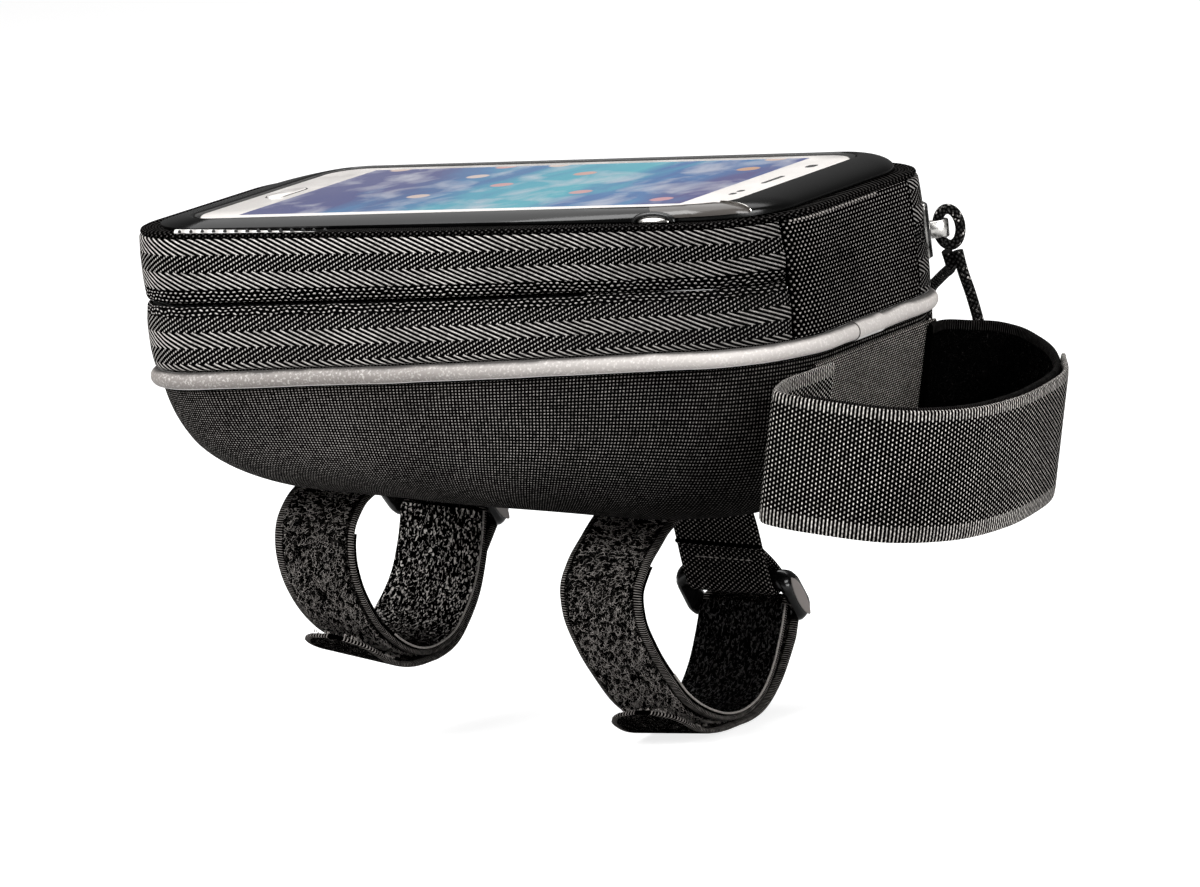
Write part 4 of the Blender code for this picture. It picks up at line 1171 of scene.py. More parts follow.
# %% Lit picture
def lit_display():
    """A lit screen under glass: a soft colour field that glows a little by itself."""
    finish, tree, shader = new_finish("lit_glass_display", "#020203", roughness=0.1, Specular_IOR_Level=0.15)
    along, across = map_mm(tree)
    place = add(tree, "CombineXYZ", add(tree, "MULTIPLY", along, 0.038),
                add(tree, "MULTIPLY", across, 0.014))
    cloud = add(tree, "TexNoise", place,
                named={"Scale": 1.6, "Detail": 5.0, "Roughness": 0.55, "Distortion": 0.6})
    streak = add(tree, "TexNoise", add(tree, "VectorMath", place, (0.9, 1.7, 1.0), operation="MULTIPLY"),
                 named={"Scale": 2.4, "Detail": 4.0, "Distortion": 0.4})
    run = add(tree, "MapRange", along, 0.0, 125.0)
    pushed = add(tree, "MULTIPLY_ADD", cloud, 0.55, run)
    ramp = add(tree, "ValToRGB", add(tree, "SUBTRACT", pushed, 0.27))
    stops = ramp.color_ramp.elements
    stops[0].position, stops[0].color = 0.0, linear("#5c5f8f")
    stops[1].position, stops[1].color = 1.0, linear("#57568f")
    for position, hex_colour in ((0.16, "#545a90"), (0.34, "#4f83b4"), (0.5, "#5cb0c6"),
                                 (0.66, "#62bccb"), (0.82, "#4f7fb6")):
        stop = stops.new(position)
        stop.color = linear(hex_colour)
    white = add(tree, "MapRange", streak, 0.48, 0.7, 0.0, 0.65)
    misty = add(tree, "MixRGB", white, ramp, linear("#dcdde6"))
    cell_mm = 15.5
    grid = [add(tree, "DIVIDE", way, cell_mm) for way in (along, across)]
    middle = add(tree, "CombineXYZ", *(add(tree, "FRACT", way) for way in grid))
    reach = add(tree, "VectorMath", middle, (0.5, 0.5, 0.0), operation="DISTANCE").outputs["Value"]
    disc = add(tree, "MapRange", reach, 0.17, 0.21, 1.0, 0.0)
    cell = add(tree, "CombineXYZ", *(add(tree, "FLOOR", way) for way in grid))
    chance = add(tree, "TexWhiteNoise", cell)
    kept = add(tree, "GREATER_THAN", chance, 0.7)
    tint = add(tree, "ValToRGB", add(tree, "MapRange", chance, 0.7, 1.0))
    tint.color_ramp.elements[0].color = linear("#e9a9b0")
    tint.color_ramp.elements[1].color = linear("#f3e3da")
    middle_tint = tint.color_ramp.elements.new(0.5)
    middle_tint.color = linear("#e8b48a")
    dot = add(tree, "MULTIPLY", disc, kept)
    picture = add(tree, "MixRGB", add(tree, "MULTIPLY", dot, 0.85), misty, tint)
    tree.links.new(picture.outputs[0], shader.inputs["Emission Color"])
    shader.inputs["Emission Strength"].default_value = 0.8
    return finish


display_length = 0.1255
display_width = 0.07
display_z = phone_top_z + 0.00004
display_rows = []
for i in range(33):
    x = display_length * (i / 32 - 0.5)
    display_rows.append([on_lid(x, display_width * (k / 8 - 0.5), display_z) for k in range(9)])
display = skin("display_glass", display_rows, lit_display(), ring=False)
belongs(display, "lid", "phone_display", "phone_display")

# %% [markdown]
# ## Small parts of the phone
# A home key with a thin bright rim, an earpiece slot, two sensors and a camera are all
# that breaks the white glass. Each is its own small form, because a painted mark looks flat when the
# light grazes the phone as it does here.

# %% Key, earpiece and sensors
def pill(name, x, y, length, width, low, high, finish, edge=0.0):
    """A rounded plate on the phone: length along x, width along y."""
    radius = min(length, width) / 2 - 1e-5
    rows = []
    for cut, z in ((0, low), (0, high - edge), (edge, high)):
        ring = []
        for s in walk(0, 8, corner=8, side=1, front=1)[:-1]:
            px, py = outline_point(s, -length / 2 + cut, length / 2 - cut, width / 2 - cut, radius - cut)
            ring.append(on_lid(x + px, y + py, z))
        rows.append(ring)
    return skin(name, rows, finish, sharp=50)


def plated_ring_finish():
    """Bright plating on a moulded ring: a mirror with a little haze."""
    finish, tree, shader = new_finish("bright_vacuum_plating", "#cfccc8", Metallic=1.0)
    smudge(tree, shader, 400.0, 2.0, 0.14, 0.28)
    return finish


plating = plated_ring_finish()
dark_glass = moulded_abs("smoked_sensor_glass", "#141216", 0.12, 2.0)
key_x = -(phone_length + display_length) / 4
sensor_x = (phone_length + display_length) / 4 + 0.0012
key_ring = pill("home_key_ring", key_x, 0, 0.0058, 0.0161,
                phone_top_z - 0.0001, phone_top_z + 0.00012, plating, 0.0001)
key_face = pill("home_key_face", key_x, 0, 0.0049, 0.0152,
                phone_top_z, phone_top_z + 0.0002, white_glass, 0.0001)
belongs(key_ring, "lid", "phone_white")
belongs(key_face, "lid", "phone_white", "phone_home_key")
for name, across, length, width in (("earpiece_slot", 0.0, 0.0013, 0.0115),
                                    ("near_sensor_rear", -0.0215, 0.0016, 0.0028),
                                    ("near_sensor_front", -0.0172, 0.0016, 0.0028),
                                    ("front_camera_glass", 0.021, 0.0026, 0.0042)):
    dark = pill(name, sensor_x, across, length, width,
                phone_top_z - 0.0002, phone_top_z + 0.00006, dark_glass)
    belongs(dark, "lid", "phone_display")

# %% [markdown]
# ## Cable port
# Where the cable of a headset can leave the lid, the frame swells into a half-round
# rubber lip with a bright plug in it. Beside it, a grey patch laid on the frame is a painted
# reflection of a lamp in the glossy corner, edged by a fine bright line, a painted highlight.
# The patch is a skin laid just over the frame's own shoulder, so that it follows every curve of it.

# %% Painted corner reflection, lip and plug
corner_reflection_finish = moulded_abs("painted_corner_reflection", "#4d4946", 0.2, 0.8)


def painted_reflection_patch(name, start, end, proud, finish, steps=26):
    """A patch of painted reflection on the shoulder from s = start to end, whose two ends run out thin."""
    last_turn = 84
    rows = []
    for i in range(steps + 1):
        s = start + (end - start) * i / steps
        full = min(1.0, 6 * min(i, steps - i) / steps)
        rows.append([shoulder_point(s, last_turn * k / 12, proud * (0.15 + 0.85 * full)) for k in range(13)])
    return skin(name, rows, finish, ring=False, sharp=60)


# A painted reflection on the corner, and its bright edge as a painted highlight.
belongs(painted_reflection_patch("corner_painted_reflection", 5.93, 6.52, 0.00035, corner_reflection_finish), "lid", "moulded_frame")
belongs(painted_reflection_patch("corner_reflection_edge_line", 6.513, 6.527, 0.0005, plating, steps=4), "lid", "bright_zinc")

port_x = 0.0605
port_y = -(half_width + 0.0001 - 0.0046)
port_foot = border_thickness + 0.0004


def port_arch(half, tall, out):
    """A half-round arch over the port, out from the frame."""
    arch = []
    for i in range(25):
        a = math.pi * i / 24
        x = port_x + half * math.cos(a)
        arch.append(world(x, port_y - out, wall_top(x) + port_foot + tall * math.sin(a)))
    return arch


port_rubber = moulded_abs("soft_port_rubber", "#0b0b0b", 0.25, 0.6)
lip = skin("cable_port_lip", tube_rows(port_arch(0.0054, 0.0019, 0.0008), 0.0007, 10), port_rubber)
belongs(lip, "lid", "black_acetal", "cable_port")


dome_rows = [port_arch(0.0046 * share, 0.0014 * share, out)
             for share, out in ((1.0, 0.0004), (0.96, 0.0011), (0.8, 0.0015), (0.5, 0.0019), (0.05, 0.002))]
dome = skin("cable_port_dome", dome_rows, plating, ring=False, sharp=60)
belongs(dome, "lid", "bright_zinc", "cable_port_plug")

# %% [markdown]
# ## Zip slider
# The slider is a zinc casting with a black lacquer. A thin rim of bare zinc shows all round
# the edge of its plate: partly rubbed bright, partly a painted highlight along that edge.
# The bridge that carries the cord is bare metal. Plate and bridge are made again here with
# rounded edges, because a sharp edge has no width to catch the light.

# %% Slider, bridge and hitch
slider_turn = math.radians(31.0)
slider_half_turn = math.radians(10.0)
corner_centre = Vector((half_length - corner_radius, half_width - corner_radius))
slider_level = slit_z(corner_centre.x + corner_radius * math.cos(slider_turn))


def at_slider(radius, across, z):
    """A place by its distance from the corner's centre, along the zip and above the slit."""
    outward = Vector((math.cos(slider_turn), math.sin(slider_turn)))
    along = Vector((-outward.y, outward.x))
    flat = corner_centre + outward * radius + along * across
    return world(flat.x, flat.y, slider_level + z)


def lacquered_zinc():
    """Die-cast zinc under black lacquer: glossy, a little uneven."""
    finish, tree, shader = new_finish("black_lacquered_zinc", "#0d0d0d", roughness=0.22,
                                      Coat_Weight=0.6, Coat_Roughness=0.1)
    where = add(tree, "TexCoord").outputs["Object"]
    peel = add(tree, "TexNoise", where, named={"Scale": 500.0, "Detail": 1.0})
    emboss(tree, shader, peel.outputs[0], 0.03)
    return finish


def cast_zinc():
    """Tumbled zinc: bright, with a faint grain from the tumbling stones."""
    finish, tree, shader = new_finish("tumbled_bright_zinc", "#dcdad6", Metallic=1.0)
    smudge(tree, shader, 800.0, 3.0, 0.16, 0.38)
    return finish


lacquer = lacquered_zinc()
zinc = cast_zinc()


def curved_plate(name, inner, outer, half_height, half_turn, finish, edge=0.0003):
    """A plate bent round the corner, with rounded edges."""
    rows = []
    for i in range(25):
        share = 2 * i / 24 - 1
        taper = math.sqrt(max(0.0, 1 - max(0.0, (abs(share) - 0.7) / 0.3) ** 2))
        tall = half_height * (0.35 + 0.65 * taper)
        a = slider_turn + half_turn * share
        section = [(inner, -tall), (outer - edge, -tall), (outer, -tall + edge), (outer, tall - edge),
                   (outer - edge, tall), (inner, tall)]
        x_turn, y_turn = math.cos(a), math.sin(a)
        rows.append([world(corner_centre.x + r * x_turn, corner_centre.y + r * y_turn, slider_level + z)
                     for r, z in section])
    return skin(name, rows, finish, sharp=50)


plate_half_height = 0.0067
plate_inner = corner_radius + gap
plate_outer = plate_inner + 0.0012
rim_wear_and_highlight = 0.00025
coil_side = corner_radius - 0.0041
plate = curved_plate("slider_plate", plate_inner, plate_outer, plate_half_height, slider_half_turn, lacquer)
rim_half_turn = slider_half_turn + math.radians(0.6)
# The bare rim stands partly for wear and partly for a painted highlight on the plate's edge.
plate_rim = curved_plate("slider_plate_rim", plate_inner + 0.0001, plate_inner + 0.00055,
                         plate_half_height + rim_wear_and_highlight, rim_half_turn, zinc, 0.0001)
inner_plate = curved_plate("slider_inner_plate", coil_side - 0.0011, coil_side, 0.0042,
                           slider_half_turn, lacquer)
web = curved_plate("slider_web", coil_side - 0.0001, plate_inner + 0.0001, 0.0003,
                   slider_half_turn * 0.6, lacquer, 0.0)
belongs(plate, "slider", "black_acetal", "zip_slider")
for piece in (inner_plate, web):
    belongs(piece, "slider", "black_acetal")
belongs(plate_rim, "slider", "bright_zinc")

bridge_root = plate_outer + gap
bridge_reach = 0.0048
bridge_half_span = 0.0029
bridge_half_width = 0.0021
bridge_bar = 0.00105
edge = 0.0003
bridge_rows = []
for i in range(25):
    a = math.pi * i / 24
    out = bridge_root - gap + bridge_reach * math.sin(a) ** 0.6
    across = bridge_half_span * math.cos(a)
    wide = bridge_half_width + 0.0002 * math.sin(a)
    inward = Vector((math.sin(a), math.cos(a))) * bridge_bar
    ring = []
    for side, z in ((0, -wide + edge), (0, wide - edge), (0.25, wide), (0.75, wide),
                    (1, wide - edge), (1, -wide + edge), (0.75, -wide), (0.25, -wide)):
        ring.append(at_slider(out - inward.x * side, across - inward.y * side, z))
    bridge_rows.append(ring)
bridge = skin("slider_bridge_bow", bridge_rows, zinc, sharp=50)
belongs(bridge, "slider", "bright_zinc", "slider_bridge")


def hitch_path(count=40):
    """One turn of cord round the bow of the bridge, leaning a little along the zip."""
    lean = 0.0012
    tall = 0.0044
    inner = bridge_root + cord_diameter / 2 + 0.0002
    outer = bridge_root + bridge_reach + cord_diameter / 2 + 0.0011
    turn = [2 * math.pi * i / count for i in range(count)]
    return [at_slider((inner + outer) / 2 + (outer - inner) / 2 * math.cos(a),
                      lean * math.sin(a), tall * math.sin(a)) for a in turn]


hitch_rows = tube_rows(hitch_path(), cord_diameter * 0.47, 14, True)
hitch = skin("cord_hitch_turn", hitch_rows, cord_finish, closed=True)
belongs(hitch, "slider", "cord_braid", "cord_hitch")

# %% [markdown]
# ## Strap webbings
# The tube straps are one-wrap tape: brushed loop pile on the outside, moulded rubber on
# the inside, with a woven edge on both sides that is ribbed across. The hanger above each
# ring is flat nylon webbing. Pile is the hardest to fake with a bump, as its outline is
# fuzzy, so a few thousand short curved threads are planted on it as real geometry.

# %% Finishes of the straps
def strap_edges(tree, width_mm, rib_mm):
    """Millimetres from a strap's nearer edge, on both faces, and the ribs across it."""
    along, around = map_mm(tree)
    face = add(tree, "PINGPONG", around, width_mm)
    from_far = add(tree, "SUBTRACT", width_mm, face)
    from_edge = add(tree, "MINIMUM", face, from_far)
    return from_edge, wave(tree, along, rib_mm)


def loop_pile_tape(name, width_mm, edge_mm, fibre, ground):
    """Brushed loops, as thin curly lines of noise, between woven edges edge_mm wide."""
    finish, tree, shader = new_finish(name, roughness=0.9)
    from_edge, ribs = strap_edges(tree, width_mm, 0.62)
    in_pile = add(tree, "MapRange", from_edge, edge_mm - 0.3, edge_mm + 0.3)
    where = add(tree, "TexCoord").outputs["Object"]
    curl = add(tree, "TexNoise", where, named={"Scale": 1150.0, "Detail": 1.0, "Distortion": 1.0})
    strand = add(tree, "ABSOLUTE", add(tree, "SUBTRACT", curl, 0.5))
    fuzz = add(tree, "MapRange", strand, 0.0, 0.03, 1.0, 0.0)
    relief = add(tree, "Mix", in_pile, named={2: ribs, 3: fuzz.outputs[0]}, data_type="FLOAT")
    dye(tree, shader, relief, ground, fibre, uneven(tree, 1.5, 0.5, 1.2), 0.1)
    emboss(tree, shader, relief.outputs[0], 0.4)
    return finish


def crinkled_rubber(name, length_mm, crest):
    """Moulded grip rubber: short worm-like ridges whose crests carry a painted highlight, strongest on the
    leg behind.
    """
    finish, tree, shader = new_finish(name, roughness=0.35)
    along, across = map_mm(tree)
    place = add(tree, "CombineXYZ", add(tree, "MULTIPLY", along, 0.55), across)
    ridges = add(tree, "TexNoise", place, named={"Scale": 1.7, "Detail": 0.0, "Distortion": 1.1})
    worm = add(tree, "MapRange", ridges, 0.45, 0.66)
    # Painted highlight: the crests brighten along the grip, onto the leg behind.
    painted_crest_light = add(tree, "MapRange", along, length_mm * 0.5, length_mm * 0.8, 0.02, 1.0)
    grain = uneven(tree, 1.1, 0.3, 1.3)
    dye(tree, shader, worm, "#020202", crest, add(tree, "MULTIPLY", painted_crest_light, grain), 0.6)
    emboss(tree, shader, worm.outputs[0], 0.5)
    return finish


pile_finish = loop_pile_tape("brushed_loop_pile", 24.0, 2.1, "#8f8a86", "#010101")
webbing_finish = plain_weave("flat_nylon_webbing", 0.8, "#a8a29e", "#040404", 0.25)
ring_finish = moulded_abs("moulded_gloss_acetal", "#080808", 0.18, 1.2)
fibre_finish = polyester_thread("pile_fibre", "#aca6a1")


# %% [markdown]
# ## The run of a tube strap
# A strap leaves the tray's bottom, goes round the tube, through its ring and back down on
# itself. A curve object could sweep it, but the rubber, the ring and the hanger need
# offsets of the same run, so the run is a flat path and each layer is moved off it.

# %% Paths and bands
strap_width = 0.024
strap_thickness = 0.0014
grip_thickness = 0.0006
ring_pitch = 0.0116
ring_bar_radius = 0.0024
ring_corner = 0.0026
strap_tip = 0.006
rear_loop = [(-0.0095, 0.0), (-0.0160, 0.0010), (-0.0240, 0.0040), (-0.0300, 0.0094), (-0.0315, 0.0151),
             (-0.0304, 0.0219), (-0.0265, 0.0292), (-0.0199, 0.0364), (-0.0120, 0.0417), (-0.0040, 0.0440),
             (0.0040, 0.0441), (0.0120, 0.0424), (0.0180, 0.0390), (0.0246, 0.0336), (0.0294, 0.0268)]
front_loop = [(-0.0110, 0.0), (-0.0180, 0.0022), (-0.0262, 0.0062), (-0.0345, 0.0110), (-0.0392, 0.0160),
              (-0.0395, 0.0221), (-0.0350, 0.0314), (-0.0274, 0.0408), (-0.0185, 0.0492), (-0.0080, 0.0544),
              (0.0030, 0.0560), (0.0130, 0.0542), (0.0218, 0.0482), (0.0274, 0.0415)]
tail_shape = [(0.0090, 0.0003), (0.0160, 0.0013), (0.0200, 0.0028), (0.0230, 0.0045), (0.0250, 0.0060),
              (0.0264, 0.0073), (0.0272, 0.0082)]
path_step = 0.0012


def smooth_path(points):
    lifted = [Vector((a, b, 0)) for a, b in points]
    return [(p.x, p.y) for p in smooth_route(lifted, path_step)]


def heading(path, i):
    before = Vector(path[max(i - 1, 0)])
    after = Vector(path[min(i + 1, len(path) - 1)])
    return (after - before).normalized()


def offset_path(path, distance):
    """The path moved sideways to its right. distance gives how far for each point's number."""
    moved = []
    for i, (a, b) in enumerate(path):
        way = heading(path, i)
        moved.append((a + way.y * distance(i), b - way.x * distance(i)))
    return moved


class TubeStrap:
    """One strap under the tray: webbing, rubber, ring and hanger, as paths across the bag."""

    def __init__(self, x, loop, ring_side, ring_drop, lean, low_tilt, stand_off):
        self.x = x
        self.low_tilt = low_tilt
        self.stand_off = stand_off
        self.root_z = bottom_z(x) - gap - strap_thickness / 2
        turn = math.radians(lean)
        self.down = Vector((math.sin(turn), -math.cos(turn)))
        self.out = Vector((math.cos(turn), math.sin(turn)))
        self.ring = Vector((ring_side, self.root_z - ring_drop))
        self.low_bar = self.ring + self.down * ring_pitch / 2
        self.high_bar = self.ring - self.down * ring_pitch / 2
        self.wrap = ring_bar_radius + gap + strap_thickness / 2
        self.loop = [(across, self.root_z - drop) for across, drop in loop]
        self.drop = max(drop for across, drop in loop)

    def spot(self, x, across, z):
        """Straps leave the bottom square to its slope and lean another way lower down."""
        share = (self.root_z - z) / self.drop
        tilt = bottom_slope + (self.low_tilt - bottom_slope) * share ** 2
        return world(x, across, z - tilt * (x - self.x))

    def place(self, point, side):
        """A place on the strap; its near leg is drawn in by 1.6 mm at the front edge."""
        drawn_in = 0.0016 * side * min(1.0, max(0.0, (-point[0] - 0.01) / 0.012))
        return self.spot(self.x + strap_width * (side - 0.5) - drawn_in, point[0], point[1])

    def beside(self, bar, start):
        along = (bar - Vector(start)).normalized()
        return along, Vector((-along.y, along.x))

    def inner_run(self):
        along, left = self.beside(self.low_bar, self.loop[-1])
        return smooth_path(self.loop + [tuple(self.low_bar + left * self.wrap)])

    def round_bar(self, centre, first, second, flats=14):
        return [tuple(centre + first * self.wrap * math.cos(math.pi * i / flats)
                      + second * self.wrap * math.sin(math.pi * i / flats)) for i in range(1, flats + 1)]

    def strap_path(self):
        inner = self.inner_run()
        along, left = self.beside(self.low_bar, self.loop[-1])
        over = self.round_bar(self.low_bar, left, along)
        low = min(range(len(inner)), key=lambda i: inner[i][1])

        def stand_away(i):
            share = max(0.0, (i - low) / (len(inner) - 1 - low))
            return strap_thickness + 1.3 * gap + self.stand_off * share ** 1.3

        away = offset_path(inner, stand_away)
        ease = 0.2 * ring_pitch + 0.2 * (self.low_bar.y - away[low][1])
        outer = [p for i, p in enumerate(away) if i >= low and p[1] < self.low_bar.y - ease]
        joined = smooth_path([over[-1], outer[-1]])[1:-1]
        tip = [(away[low][0] - run, away[low][1] + rise) for run, rise in tail_shape]
        tail = smooth_path([outer[0]] + tip)[1:]
        return inner, over + joined + outer[::-1] + tail

    def grip_path(self):
        inner = [p for p in self.inner_run() if p[1] < self.root_z - 0.009]
        return offset_path(inner, lambda i: -(strap_thickness + grip_thickness) / 2 - gap)[:-1]

    def hanger_path(self):
        root = (0.014 - 0.006, self.root_z)
        bend = (0.014, self.root_z - strap_thickness / 2)
        along, left = self.beside(self.high_bar, bend)
        down = smooth_path([root, bend, tuple(self.high_bar - left * self.wrap)])
        around = self.round_bar(self.high_bar, -left, along)
        length = min(0.012, (self.root_z - self.high_bar.y) * 0.7)
        top = Vector(around[-1])
        close = 2 * self.wrap - strap_thickness - 2 * gap
        middle = top - along * 2.2 * ring_bar_radius - left * close * 0.35
        end = top - along * length - left * close * 0.95
        return down + around + smooth_path([around[-1], tuple(middle), tuple(end)])[1:]


def band_skin(name, path, thickness, place, finish, tip_mm=0.0, columns=12):
    """A flat band with soft edges; its last tip_mm narrow to a rounded end."""
    run = np.cumsum([0.0] + step_lengths(path))
    sides = [0.5 - 0.5 * math.cos(math.pi * k / columns) for k in range(columns + 1)]
    rows = []
    for i, point in enumerate(path):
        way = heading(path, i)
        normal = Vector((-way.y, way.x)) * thickness / 2
        left_to_go = (run[-1] - run[i]) * 1000
        wide = 1.0
        if tip_mm and left_to_go < tip_mm:
            wide = 0.2 + 0.8 * math.sqrt(max(0.0, 1 - (1 - left_to_go / tip_mm) ** 2))
        ring = []
        for sign, order in ((1, sides), (-1, sides[::-1])):
            for side in order:
                thin = 1 - 0.55 * max(0.0, (abs(side - 0.5) - 0.46) / 0.04) ** 2
                spot = (point[0] + sign * normal.x * thin, point[1] + sign * normal.y * thin)
                ring.append(place(spot, 0.5 + (side - 0.5) * wide))
        rows.append(ring)
    return skin(name, rows, finish, sharp=60)


# %% [markdown]
# ## Planted pile
# Each pile thread is a small arch of five points with a three-sided section. Its foot is
# picked at random on the strap's face from a fixed seed, so every run grows the same
# pile. Two thousand arches cost less memory than one subdivided cushion.

# %% Pile, hooks and straps
def planted_threads(name, feet, reach, height, radius, finish, seed):
    """Small arches on feet. Each foot is a place, a normal and a direction along the face."""
    dice = np.random.default_rng(seed)
    points, faces = [], []
    for place, normal, along in feet:
        across = normal.cross(along).normalized()
        turn = dice.uniform(0, 2 * math.pi)
        way = along * math.cos(turn) + across * math.sin(turn)
        side = normal.cross(way)
        long = reach * dice.uniform(0.6, 1.3)
        tall = height * dice.uniform(0.5, 1.3)
        first = len(points)
        for i in range(5):
            t = i / 4
            centre = (place + way * long * (t - 0.5) + normal * tall * math.sin(math.pi * t)
                      + side * long * 0.35 * math.sin(2 * math.pi * t + turn))
            for k in range(3):
                a = 2 * math.pi * k / 3
                points.append(centre + (side * math.cos(a) + normal * math.sin(a)) * radius)
        faces += ring_faces(first, 5, 3)
    mesh = bpy.data.meshes.new(name)
    mesh.from_pydata([tuple(p) for p in points], [], faces)
    return finished(name, mesh, finish, 80)


def feet_on(path, place, side_range, count, seed, lift):
    """Random feet on the outer face of a band, as places with their normals and directions."""
    dice = np.random.default_rng(seed)
    steps = step_lengths(path)
    ends = np.cumsum(steps)
    feet = []
    for _ in range(count):
        run = dice.uniform(0, ends[-1])
        side = dice.uniform(*side_range)
        i = int(np.searchsorted(ends, run))
        t = 1 - (ends[i] - run) / steps[i]
        a, b = Vector(path[i]), Vector(path[i + 1])
        way = (b - a).normalized()
        normal = Vector((way.y, -way.x))
        spot = a + (b - a) * t + normal * lift
        base = place(tuple(spot), side)
        up_way = (place(tuple(spot + normal * 0.001), side) - base).normalized()
        along = (place(tuple(spot + way * 0.001), side) - base).normalized()
        feet.append((base, up_way, along))
    return feet


ring_end_cut = 0.0008
ring_reach = strap_width / 2 + gap / 2 + ring_corner + ring_bar_radius - ring_end_cut


def grown_ring(strap):
    """The ring: a rounded frame of bar, deeper at its ends, whose end faces are cut flat."""
    straight = strap_width / 2 + gap / 2
    rise = ring_pitch / 2 - ring_corner
    path = []
    for end, side in ((1, -1), (1, 1), (-1, 1), (-1, -1)):
        for i in range(13):
            share = i / 12 if end * side < 0 else 1 - i / 12
            a = math.radians(90 * share)
            px = end * (straight + ring_corner * math.sin(a))
            flat = strap.ring + strap.down * side * (rise + ring_corner * math.cos(a))
            path.append(strap.spot(strap.x + px, flat.x, flat.y))
    rows = tube_rows(path, ring_bar_radius, 24, closed=True)
    out = Vector((0, strap.out.x, strap.out.y))
    for ring in rows:
        for point in ring:
            px = point.x - strap.x
            plane = strap.spot(point.x, strap.ring.x, strap.ring.y)
            share = min(max((abs(px) - straight) / ring_corner, 0.0), 1.0)
            point += out * (point - plane).dot(out) * 0.45 * share
            point.x = strap.x + min(max(px, -ring_reach), ring_reach)
    return rows


def end_face_ring(strap, proud):
    """The outline of the pale face where the ring's end is cut flat, blunt at both tips."""
    half_height = 0.0068
    half_width_there = 0.0021
    outline = []
    for k in range(32):
        a = 2 * math.pi * k / 32
        flat = (strap.ring + strap.down * (half_height - proud) * math.cos(a)
                + strap.out * half_width_there * math.sin(a) * abs(math.sin(a)) ** 0.4)
        outline.append(strap.spot(strap.x + ring_reach + proud, flat.x, flat.y))
    return outline


straps = {"rear": TubeStrap(-0.054, rear_loop, 0.0335, 0.0130, 42.0, 0.23, 0.0),
          "front": TubeStrap(0.031, front_loop, 0.0320, 0.0305, 35.0, 0.03, 0.0062)}
pile_counts = {"rear": 1500, "front": 2000}
# Crest colours are painted highlights on the ridges: nearly white on the rear grip, dim on the front one.
crests = {"rear": "#fbf4ee", "front": "#242221"}
ring_grey = moulded_abs("cut_acetal_end_face", "#8b8380", 0.4, 0.8)
for number, (label, strap) in enumerate(straps.items()):
    inner, rest = strap.strap_path()
    body = band_skin(label + "_strap_tape", inner + rest, strap_thickness, strap.place, pile_finish,
                     tip_mm=strap_tip * 1000)
    belongs(body, "base", "loop_pile", label + "_tube_strap")
    low = min(range(len(inner)), key=lambda i: inner[i][1])
    face = strap_thickness / 2
    feet = feet_on(inner[:low + 2], strap.place, (0.1, 0.9), pile_counts[label], 11 + number, face)
    pile = planted_threads(label + "_strap_pile", feet, 0.0011, 0.0006, 0.00006, fibre_finish, 5 + number)
    belongs(pile, "base", "loop_pile")
    feet = feet_on(rest[-19:], strap.place, (0.2, 0.8), 420, 31 + number, face)
    hooks = planted_threads(label + "_strap_hooks", feet, 0.0005, 0.0006, 0.00012, fibre_finish, 9 + number)
    belongs(hooks, "base", "loop_pile")
    grip_line = strap.grip_path()
    grip_mm = 1000 * sum(step_lengths(grip_line))
    grip_finish = crinkled_rubber(label + "_crinkled_rubber", grip_mm, crests[label])
    grip = band_skin(label + "_grip_rubber", grip_line, grip_thickness, strap.place, grip_finish)
    belongs(grip, "base", "grip_rubber", label + "_strap_grip")
    cut_line = [strap.place(p, 1.0) for p in grip_line[len(grip_line) // 3:]]
    cut_edge = skin(label + "_grip_cut_edge", tube_rows(cut_line, 0.00028, 6), fibre_finish)
    belongs(cut_edge, "base", "grip_rubber")
    hanger = band_skin(label + "_hanger_webbing", strap.hanger_path(), strap_thickness, strap.place,
                       webbing_finish)
    belongs(hanger, "base", "webbing", label + "_ring_hanger")
    ring = skin(label + "_ring_moulding", grown_ring(strap), ring_finish, closed=True, sharp=35)
    belongs(ring, "base", "black_acetal", label + "_ring")
    leaf = [end_face_ring(strap, proud) for proud in (0.0, 0.0002)]
    belongs(skin(label + "_ring_end_face", leaf, ring_grey, sharp=30), "base", "black_acetal")

# %% [markdown]
# ## Stitches of the front hanger
# A row of pale thread crosses the front hanger above its ring, where the webbing is sewn
# back on itself. It uses the lid's stitch helper, along a line across the strap.

# %% Stitch line of the front hanger
front = straps["front"]
seam_point = min(front.hanger_path()[:40], key=lambda p: abs(p[1] - (front.root_z - 0.0205)))
seam_ends = []
seam_spot = (seam_point[0] - 0.0009, seam_point[1])
for i in range(9):
    seam_ends.append([front.place(seam_spot, 0.2 + 0.075 * i + step) for step in (0.0, 0.05)])
hanger_stitches = stitch_row("front_hanger_stitches", seam_ends, Vector((0, -1, 0)), 0.45, grey_thread)
belongs(hanger_stitches, "base", "webbing")

# %% [markdown]
# ## Stem strap
# Two wide bands start at a patch on the front end, go round the stem and close on each
# other. The outer one is hook tape: rows of tiny hooks that glint like beads on a ribbed
# ground. The inner one is brushed loop. The patch is flat webbing of a fine plain weave.

